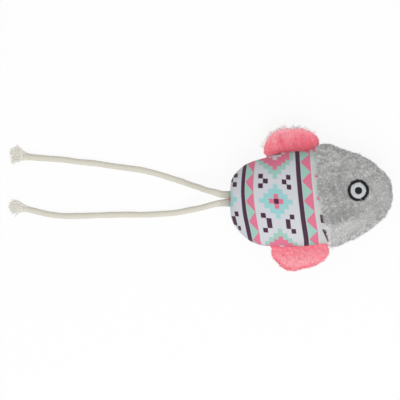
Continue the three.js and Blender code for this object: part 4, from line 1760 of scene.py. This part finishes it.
    def piece(self, flank: Flank, back: Material) -> None:
        """Makes one layer: its knitted back and its pile.

        Args:
            flank: the upper or the under layer.
            back: material of the knitted back.
        """
        grid = self.layer(flank, self.back_inset)
        normals = outward(normals_of(grid), flank)
        out = np.linspace(0, 1, self.out_steps + 1)[None]
        share = np.linspace(0, 1, self.along_steps + 1)[:, None]
        soft = np.clip(4 * out * (1 - out), 0, 1) * np.clip(12 * share * (1 - share), 0, 1)
        grid = grid + normals * (soft * self.dents(grid))[..., None]
        grid = grid + self.pressed(grid, flank)
        toy = self.to_toy(grid)
        layer = "top" if flank is Flank.UPPER else "under"
        name = f"ear_{self.edge.name.lower()}_{layer}_layer"
        faces = grid_faces(*grid.shape[:2], flip=flank is Flank.LOWER)
        piece = mesh_object(name + "_back", to_row(toy), faces.tolist())
        thicken(piece, self.thickness)
        piece.data.materials.append(back)
        report(piece, "pink_plush", name)
        self.follow(piece)
        seed = 200 + 10 * self.edge.value + flank.value
        pile = Pile(
            self.finish, width=0.22, curl=0.45, spread=0.2, mottle=0.08, grain=0.05, seed=seed
        )
        roots, away = pile.roots(grid, self.strands)
        away = outward(away, flank)
        low = 0.6 + 0.4 * np.clip(roots[:, 1] / 4.0, 0, 1)
        turned = self.to_toy(roots), self.direction(away)
        across = self.direction(np.array([0.0, 1.0, 0.0]))
        # Painted shade near the root, in the fold against the toy
        deep = np.exp(-np.maximum(roots[:, 1], 0) / 4.5)
        shade = self.tone(roots, deep)
        nap = self.nap - 1.6 * np.exp(-np.maximum(roots[:, 1], 0) / 1.2)
        strands = pile.strands(name + "_pile", *turned, nap[:, None] * across, low, shade)
        report(strands, "pink_plush")
        self.follow(strands)
        if self.crest:
            self.tips(name, grid)

    def tone(self, roots: Points, deep: np.ndarray) -> np.ndarray:
        """Tone of the pile: painted shade deep in the fold at the root, at the upper ear's root
        towards the nose and in its crease, painted light at the outer edge.

        Args:
            roots: of the strands, in the ear's frame.
            deep: how close each is to the ear's root, as a share, which sets its painted shade.

        Returns:
            What is added to each strand's tone.
        """
        # Painted light: the pile is paler towards the outer edge
        shade = 0.75 * np.clip(roots[:, 1] / self.reach - 0.5, 0, 1)
        if self.edge is Edge.LOWER:
            return 2.0 * shade + 0.12 - 0.55 * deep
        # Painted shade at the upper ear's root towards the nose, and in its crease
        right = fade(roots[:, 0] - 0.78 * self.span, 8.0)
        crease = fade(roots[:, 0] - self.crease_at(roots[:, 1]), 1.2) * fade(roots[:, 1] - 6.0, 4.0)
        return 1.2 * shade + 0.05 - (0.35 + 1.2 * right) * deep - 0.75 * crease

    def tips(self, name: str, grid: Points) -> None:
        """Makes the pale ends of the pile that stand along the outer edge.

        Args:
            name: of the layer.
            grid: its points, in the ear's frame.
        """
        rng = np.random.default_rng(400 + len(name))
        # The pile ends in small tufts, some taller than the rest
        tuft = rng.integers(0, self.tufts, self.tip_strands)
        middles = rng.uniform(0.16, 0.77, self.tufts)
        tall = rng.uniform(0.45, 1.55, self.tufts)[tuft] * rng.uniform(0.8, 1.1, self.tip_strands)
        lean = rng.normal(0, 0.2, (self.tufts, 3))[tuft]
        loose = rng.random(self.tip_strands) < 0.4
        tall = np.where(loose, 0.62 * rng.uniform(0.8, 1.1, self.tip_strands), tall)
        by_itself = rng.uniform(0.26, 0.72, self.tip_strands)
        in_tuft = middles[tuft] + rng.normal(0, 0.008, self.tip_strands)
        at = np.where(loose, by_itself, in_tuft) * self.along_steps
        low = at.astype(int)
        share = (at - low)[:, None]
        out = self.out_steps - rng.integers(1, 7, self.tip_strands)
        roots = grid[low, out] * (1 - share) + grid[low + 1, out] * share
        away = roots - [self.span / 2, 0.3 * self.reach, 0.0]
        away[:, 2] = 0.8 * np.sign(roots[:, 2].mean())
        away = unit(unit(away) + lean)
        form = {"height": 2.2, "width": 0.44, "lean": 0.25, "clump": 0.9, "spread": 0.35}
        pile = Pile(self.pale, **form, upright=0.05, mottle=0.12, seed=410)
        turned = self.to_toy(roots), self.direction(away)
        strands = pile.strands(name + "_tips", *turned, np.zeros(3), tall)
        report(strands, "pink_plush")
        self.follow(strands)

    def pressed(self, grid: Points, flank: Flank) -> Points:
        """Presses a layer out between its sewn edges.

        Args:
            grid: points of the layer in the ear's frame.
            flank: the upper or the under layer.

        Returns:
            A move for each point, in mm.
        """
        coarse = resample(grid, *self.press_grid)
        sewn = np.zeros(coarse.shape[:2], bool)
        sewn[[0, -1]] = sewn[:, [0, -1]] = True
        faces = grid_faces(*self.press_grid, flip=flank is Flank.LOWER).tolist()
        press = StuffingPress(pressure=2.0, extra_cloth=0.07, most=0.7)
        move = press.press(coarse.reshape(-1, 3), faces, sewn.ravel())
        calmed = calm(move.reshape(coarse.shape), passes=2)
        return resample(calmed, self.along_steps + 1, self.out_steps + 1)

    def follow(self, piece: Object) -> None:
        """Bakes a piece's placement into its mesh.

        Args:
            piece: a back or a pile of this ear.
        """
        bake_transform(piece)

    def build(self) -> None:
        """Makes both layers."""
        back = self.finish.back_material()
        for flank in Flank:
            self.piece(flank, back)


# Outline of each ear from one end of its root to the other, as shares of the span and the reach
UPPER_EAR_OUTLINE = (
    (0, 0), (-0.055, 0.13), (-0.024, 0.44), (0.075, 0.765), (0.252, 0.945), (0.491, 0.99),
    (0.73, 0.88), (0.905, 0.69), (1.035, 0.42), (1.085, 0.19), (1.03, 0.0),
)
LOWER_EAR_OUTLINE = (
    (0, 0), (-0.004, 0.21), (0.018, 0.4), (0.095, 0.585), (0.175, 0.66), (0.314, 0.77),
    (0.451, 0.84), (0.59, 0.89), (0.724, 0.86), (0.85, 0.69), (0.905, 0.55), (0.975, 0.33), (1, 0),
)


@dataclass
class EmbroideredEye:
    """An eye of satin stitches on one flank: dark outline, white field, dark pupil."""

    form: StuffedForm
    flank: Flank
    dark: Material
    white: Material
    place: tuple[float, float] = (27.28, 3.97)
    outline_radius: float = 6.3
    outline_width: float = 1.4
    pupil_radius: float = 1.98
    thread: float = 0.21
    grow: float = 1.5
    tall: float = 1.04  # height of the eye over its width
    breaks: tuple = ((5.0, 0.075), (1.37, 0.04))  # where the two runs of the outline meet
    outline_stitches: int = 104
    pad_sides: int = 48

    def stitch(self, start: tuple, end: tuple, rise: float) -> tuple[Points, list]:
        """One stitch from point to point of the flank, arched over the pile.

        Args:
            start: x and y from the middle of the eye, in mm.
            end: the same of its other end.
            rise: height of the arch.

        Returns:
            Its points and faces.
        """
        share = np.linspace(0, 1, 7)
        x = self.place[0] + start[0] + (end[0] - start[0]) * share
        y = self.place[1] + self.tall * (start[1] + (end[1] - start[1]) * share)
        line = self.form.on_flank(x, y, self.flank, self.grow)
        lift = rise * np.sqrt(np.maximum(np.sin(np.pi * share), 0)) - 0.35
        line[:, 2] += self.flank.value * lift
        line[:, 2] = np.maximum(line[:, 2], -SEAM_HEIGHT + self.thread)
        return tube(line, self.thread, 6)

    def pad(self, inner: float, outer: float, rise: float, gaps: tuple = ()) -> tuple[Points, list]:
        """The closed ground under a field of stitches, as a flat ring with gaps in it.

        Args:
            inner: inner radius.
            outer: outer radius.
            rise: height over the flank.
            gaps: sides that are left out, counted from the nose.

        Returns:
            Its points and faces.
        """
        sides = self.pad_sides
        turns = np.linspace(0, 2 * np.pi, sides + 1)[:-1]
        rings = []
        for radius, lower in ((inner, 0.9), (inner, 0.0), (outer, 0.0), (outer, 0.9)):
            x = self.place[0] + radius * np.cos(turns)
            y = self.place[1] + self.tall * radius * np.sin(turns)
            ring = self.form.on_flank(x, y, self.flank, self.grow)
            ring[:, 2] += self.flank.value * (rise - lower)
            rings.append(ring)
        points = np.concatenate(rings)
        faces = []
        for k in range(sides):
            after = (k + 1) % sides
            if k in gaps:
                faces.append([ring * sides + k for ring in (3, 2, 1, 0)])
                faces.append([ring * sides + after for ring in range(4)])
                continue
            for ring in range(4):
                this, beside = ring * sides, (ring + 1) % 4 * sides
                faces.append([this + k, this + after, beside + after, beside + k])
        points[:, 2] = np.maximum(points[:, 2], FLOOR)
        return points, faces

    def satin(
        self, inner: float, outer: float, pitch: float, rise: float, seed: int, square: float = 2.0
    ) -> list:
        """Stitches side by side over a ring, a round or a round with square corners.

        Args:
            inner: inner radius, or 0.
            outer: outer radius.
            pitch: from stitch to stitch.
            rise: height of the stitches.
            seed: of their small shifts.
            square: 2 for a round, more for squarer corners.

        Returns:
            The stitches' points and faces.
        """
        rng = np.random.default_rng(seed)
        found = []
        for x in np.arange(-outer + pitch / 2, outer, pitch):
            far = outer * max(1 - abs(x / outer) ** square, 0.001) ** (1 / square)
            near = math.sqrt(inner**2 - x**2) if abs(x) < inner else 0.0
            runs = [(-far, -near), (near, far)] if near else [(-far, far)]
            for low, high in runs:
                sway = rng.normal(0, 0.05, 4)
                ends = (x + sway[0], low + sway[1]), (x + sway[2], high + sway[3])
                found.append(self.stitch(*ends, rise))
        return found

    def outline(self, seed: int) -> list:
        """Stitches across the outline, a little uneven.

        Args:
            seed: of their small shifts.

        Returns:
            The stitches' points and faces.
        """
        rng = np.random.default_rng(seed)
        found = []
        for k in range(self.outline_stitches):
            turn = 2 * math.pi * (k + rng.normal(0, 0.15)) / self.outline_stitches
            if any(abs(turn - middle) < reach for middle, reach in self.breaks):
                continue
            # The outline is thinnest up at the tail side, and uneven all round
            thin = 0.5 * math.exp(-(((turn - 2.55) / 0.26) ** 2))
            waves = 0.12 * math.sin(5 * turn + 1.0) + 0.08 * math.sin(9 * turn)
            wobble = waves - 0.15 * abs(math.sin(turn))
            outer = self.outline_radius + 0.08 + wobble + rng.normal(0, 0.12) - 0.6 * thin
            thick = 0.28 * max(math.cos(turn), 0.0)
            bare = self.outline_radius - self.outline_width - 0.15
            inner = bare + rng.normal(0, 0.09) + thin - thick
            slant = 0.05  # of each stitch, in radians at either end
            start = inner * math.cos(turn - slant), inner * math.sin(turn - slant)
            end = outer * math.cos(turn + slant), outer * math.sin(turn + slant)
            found.append(self.stitch(start, end, 0.85))
        return found

    def build(self) -> None:
        """Makes the three fields of stitches, each with the ground under it."""
        side = self.flank.name.lower()
        inside = self.outline_radius - self.outline_width
        dark_pad = self.pad(inside + 0.15, self.outline_radius - 0.5, -0.1, gaps=(10, 38))
        white_pad = self.pad(self.pupil_radius - 0.1, inside - 0.1, -0.15)
        pupil_pad = self.pad(0.05, self.pupil_radius - 0.15, 0.0)
        white = self.satin(self.pupil_radius, inside + 0.1, 0.36, 0.35, 62)
        pupil = self.satin(0.0, self.pupil_radius + 0.05, 0.3, 0.62, 63, square=3.2)
        fields = (
            ("outline", self.outline(61) + [dark_pad], self.dark, "dark_thread"),
            ("white", white + [white_pad], self.white, "white_thread"),
            ("pupil", pupil + [pupil_pad], self.dark, "dark_thread"),
        )
        for name, tubes, finish, slot in fields:
            piece = bundle(f"eye_{side}_{name}_stitches", tubes)
            piece.data.materials.append(finish)
            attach(piece, "toy")
            report(piece, slot, f"eye_{side}_{name}")


def tail_tack(finish: Material) -> None:
    """Makes the small tack of red thread that holds the two ends of the cord at the tail seam.

    Args:
        finish: material of the thread.
    """
    rng = np.random.default_rng(95)
    tubes = []
    for x in np.linspace(-50.6, -49.5, 5):
        sway = rng.normal(0, 0.12, 4)
        start, end = (x + sway[0], 0.15 + sway[1], 0.5), (x + sway[2], -2.3 + sway[3], 0.5)
        line = even_path(np.array([start, (x, -1.1, 0.75), end]), 0.3)
        tubes.append(tube(line, 0.16, 6))
    piece = bundle("tail_tack", tubes)
    piece.data.materials.append(finish)
    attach(piece, "toy")
    report(piece, "white_thread")


@dataclass
class InnerParts:
    """What lies inside the covers: filling, sachet, sewn-in edges and the fold of the cord."""

    form: StuffedForm
    inset: float = 2.8  # of the filling under the covers and their seam allowances
    columns: int = 96

    def filling(self, name: str, head: bool, finish: Material) -> None:
        """Makes the fibre that fills the head or the body, in soft lumps.

        Args:
            name: of the CAD node.
            head: whether it is the head's.
            finish: the fibre's material.
        """
        angle = np.linspace(0, 2 * np.pi, self.columns, endpoint=False)
        if head:
            first = self.form.neck_at(angle, shift=0.8)
            last = np.full(self.columns, self.form.last - 0.9)
        else:
            first = np.full(self.columns, 2.0)
            last = self.form.neck_at(angle, shift=-0.8)
        share = np.linspace(0, 1, 60)[:, None]
        grid = self.form.surface(first + (last - first) * share, angle[None], -self.inset)
        inwards = np.stack([0 * angle, -np.cos(angle), -np.sin(angle)], -1)
        lumps = 0.45 * np.abs(wander(grid, 7, 81)) + 0.2 * np.abs(wander(grid, 2.5, 82))
        grid = grid + inwards * lumps[..., None]
        piece = mesh_object(name + "_fibre", to_row(grid), closed_faces(*grid.shape[:2]))
        piece.data.materials.append(finish)
        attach(piece, "toy")
        report(piece, "fibre", name)

    def soft_copy(
        self, name: str, slot: str, cell: float, wrinkle: float, finish: Material
    ) -> None:
        """Makes a finer piece over a CAD solid, with soft edges and small wrinkles.

        Args:
            name: of the CAD node.
            slot: of the material.
            cell: size of the new mesh's faces, in mm.
            wrinkle: depth of the wrinkles, in mm.
            finish: the material.
        """
        piece = bpy.data.objects.new(name + "_cloth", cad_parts[name].data.copy())
        bpy.context.scene.collection.objects.link(piece)
        remesh = piece.modifiers.new("finer", "REMESH")
        remesh.mode = "VOXEL"
        remesh.voxel_size = cell * MM
        soften = piece.modifiers.new("soft", "SMOOTH")
        soften.iterations = 3
        made = piece.evaluated_get(bpy.context.evaluated_depsgraph_get())
        piece.data = bpy.data.meshes.new_from_object(made)
        piece.modifiers.clear()
        count = len(piece.data.vertices)
        places, normals = np.empty(count * 3), np.empty(count * 3)
        piece.data.vertices.foreach_get("co", places)
        piece.data.vertices.foreach_get("normal", normals)
        places, normals = places.reshape(-1, 3), normals.reshape(-1, 3)
        move = -wrinkle * np.abs(wander(places / MM, 3.0, 91))
        piece.data.vertices.foreach_set("co", (places + normals * move[:, None] * MM).ravel())
        piece.data.update()
        piece.data.shade_smooth()
        piece.data.materials.clear()
        piece.data.materials.append(finish)
        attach(piece, "toy")
        report(piece, slot, name)

    def build(self, pink: Material, cotton: Material) -> None:
        """Makes all inner parts.

        Args:
            pink: material of the ears' knitted back.
            cotton: material of the cord.
        """
        fibre = SpunFibre("polyester_fibre", "#f2f1ee", "#dcdbd7", 0.9, 0.4).material()
        self.filling("body_filling", False, fibre)
        self.filling("head_filling", True, fibre)
        sachet = SpunFibre("nonwoven_sachet", "#e9e4d4", "#d3cdb9", 0.95, 0.6).material()
        self.soft_copy("catnip_pouch", "sachet", 0.6, 0.35, sachet)
        self.soft_copy("ear_upper_sewn_edge", "pink_plush", 0.3, 0.05, pink)
        self.soft_copy("ear_lower_sewn_edge", "pink_plush", 0.3, 0.05, pink)
        self.soft_copy("tail_cord_fold", "cotton_cord", 0.3, 0.08, cotton)


def build_toy() -> None:
    """Builds the toy in order: studio, cords, covers, ears, inner parts, eyes and tack."""
    Studio().build()
    cotton = SpunFibre("cotton_cord", "#e0dcd0", "#cbc7b9", 0.95, 0.35, painted_seam_shadow=0.36).material()
    combed = SpunFibre("combed_cotton", "#f4f1e8", "#e4e1d6", 0.95, 0.5, glow=0.96).material()
    TailCord("upper", 1, UPPER_FRAY, 3.0, 71).build(cotton, combed)
    TailCord("lower", 2, LOWER_FRAY, 0.5, 72).build(cotton, combed)

    form = StuffedForm()
    press_form(form)
    BodyCovers(form, PrintedTwill()).build()
    grey = Plush("grey_minky", "#b2b2b1", "#b3b3b2", "#8a8a88", "#ffffff")
    HeadCovers(form, grey).build()
    pink = Plush("pink_minky", "#f07a88", "#f88092", "#f87186", "#ffdee2", glow=0.84)
    pale = Plush("pale_minky", "#efd0d2", "#f4dfde", "#fbf4f1", "#ffffff", glow=0.93)
    tipped = {"root_lean": 1.1, "crest": 1.9, "pale": pale}
    Ear(form, pink, Edge.UPPER, 21.4, 29.5, 4.2, UPPER_EAR_OUTLINE, **tipped).build()
    Ear(form, pink, Edge.LOWER, 23.7, 34.9, 3.4, LOWER_EAR_OUTLINE, nap=-0.45).build()
    InnerParts(form).build(pink.back_material(), cotton)
    dark = SpunFibre("black_rayon", "#101114", "#070709", 0.6, 0.3).material()
    white = SpunFibre("white_rayon", "#dadddf", "#c3c8cb", 0.5, 0.3).material()
    for flank in Flank:
        EmbroideredEye(form, flank, dark, white).build()
    tail_tack(SpunFibre("red_thread", "#cd8079", "#b2655f", 0.6, 0.3).material())


if __name__ == "__main__":
    build_toy()
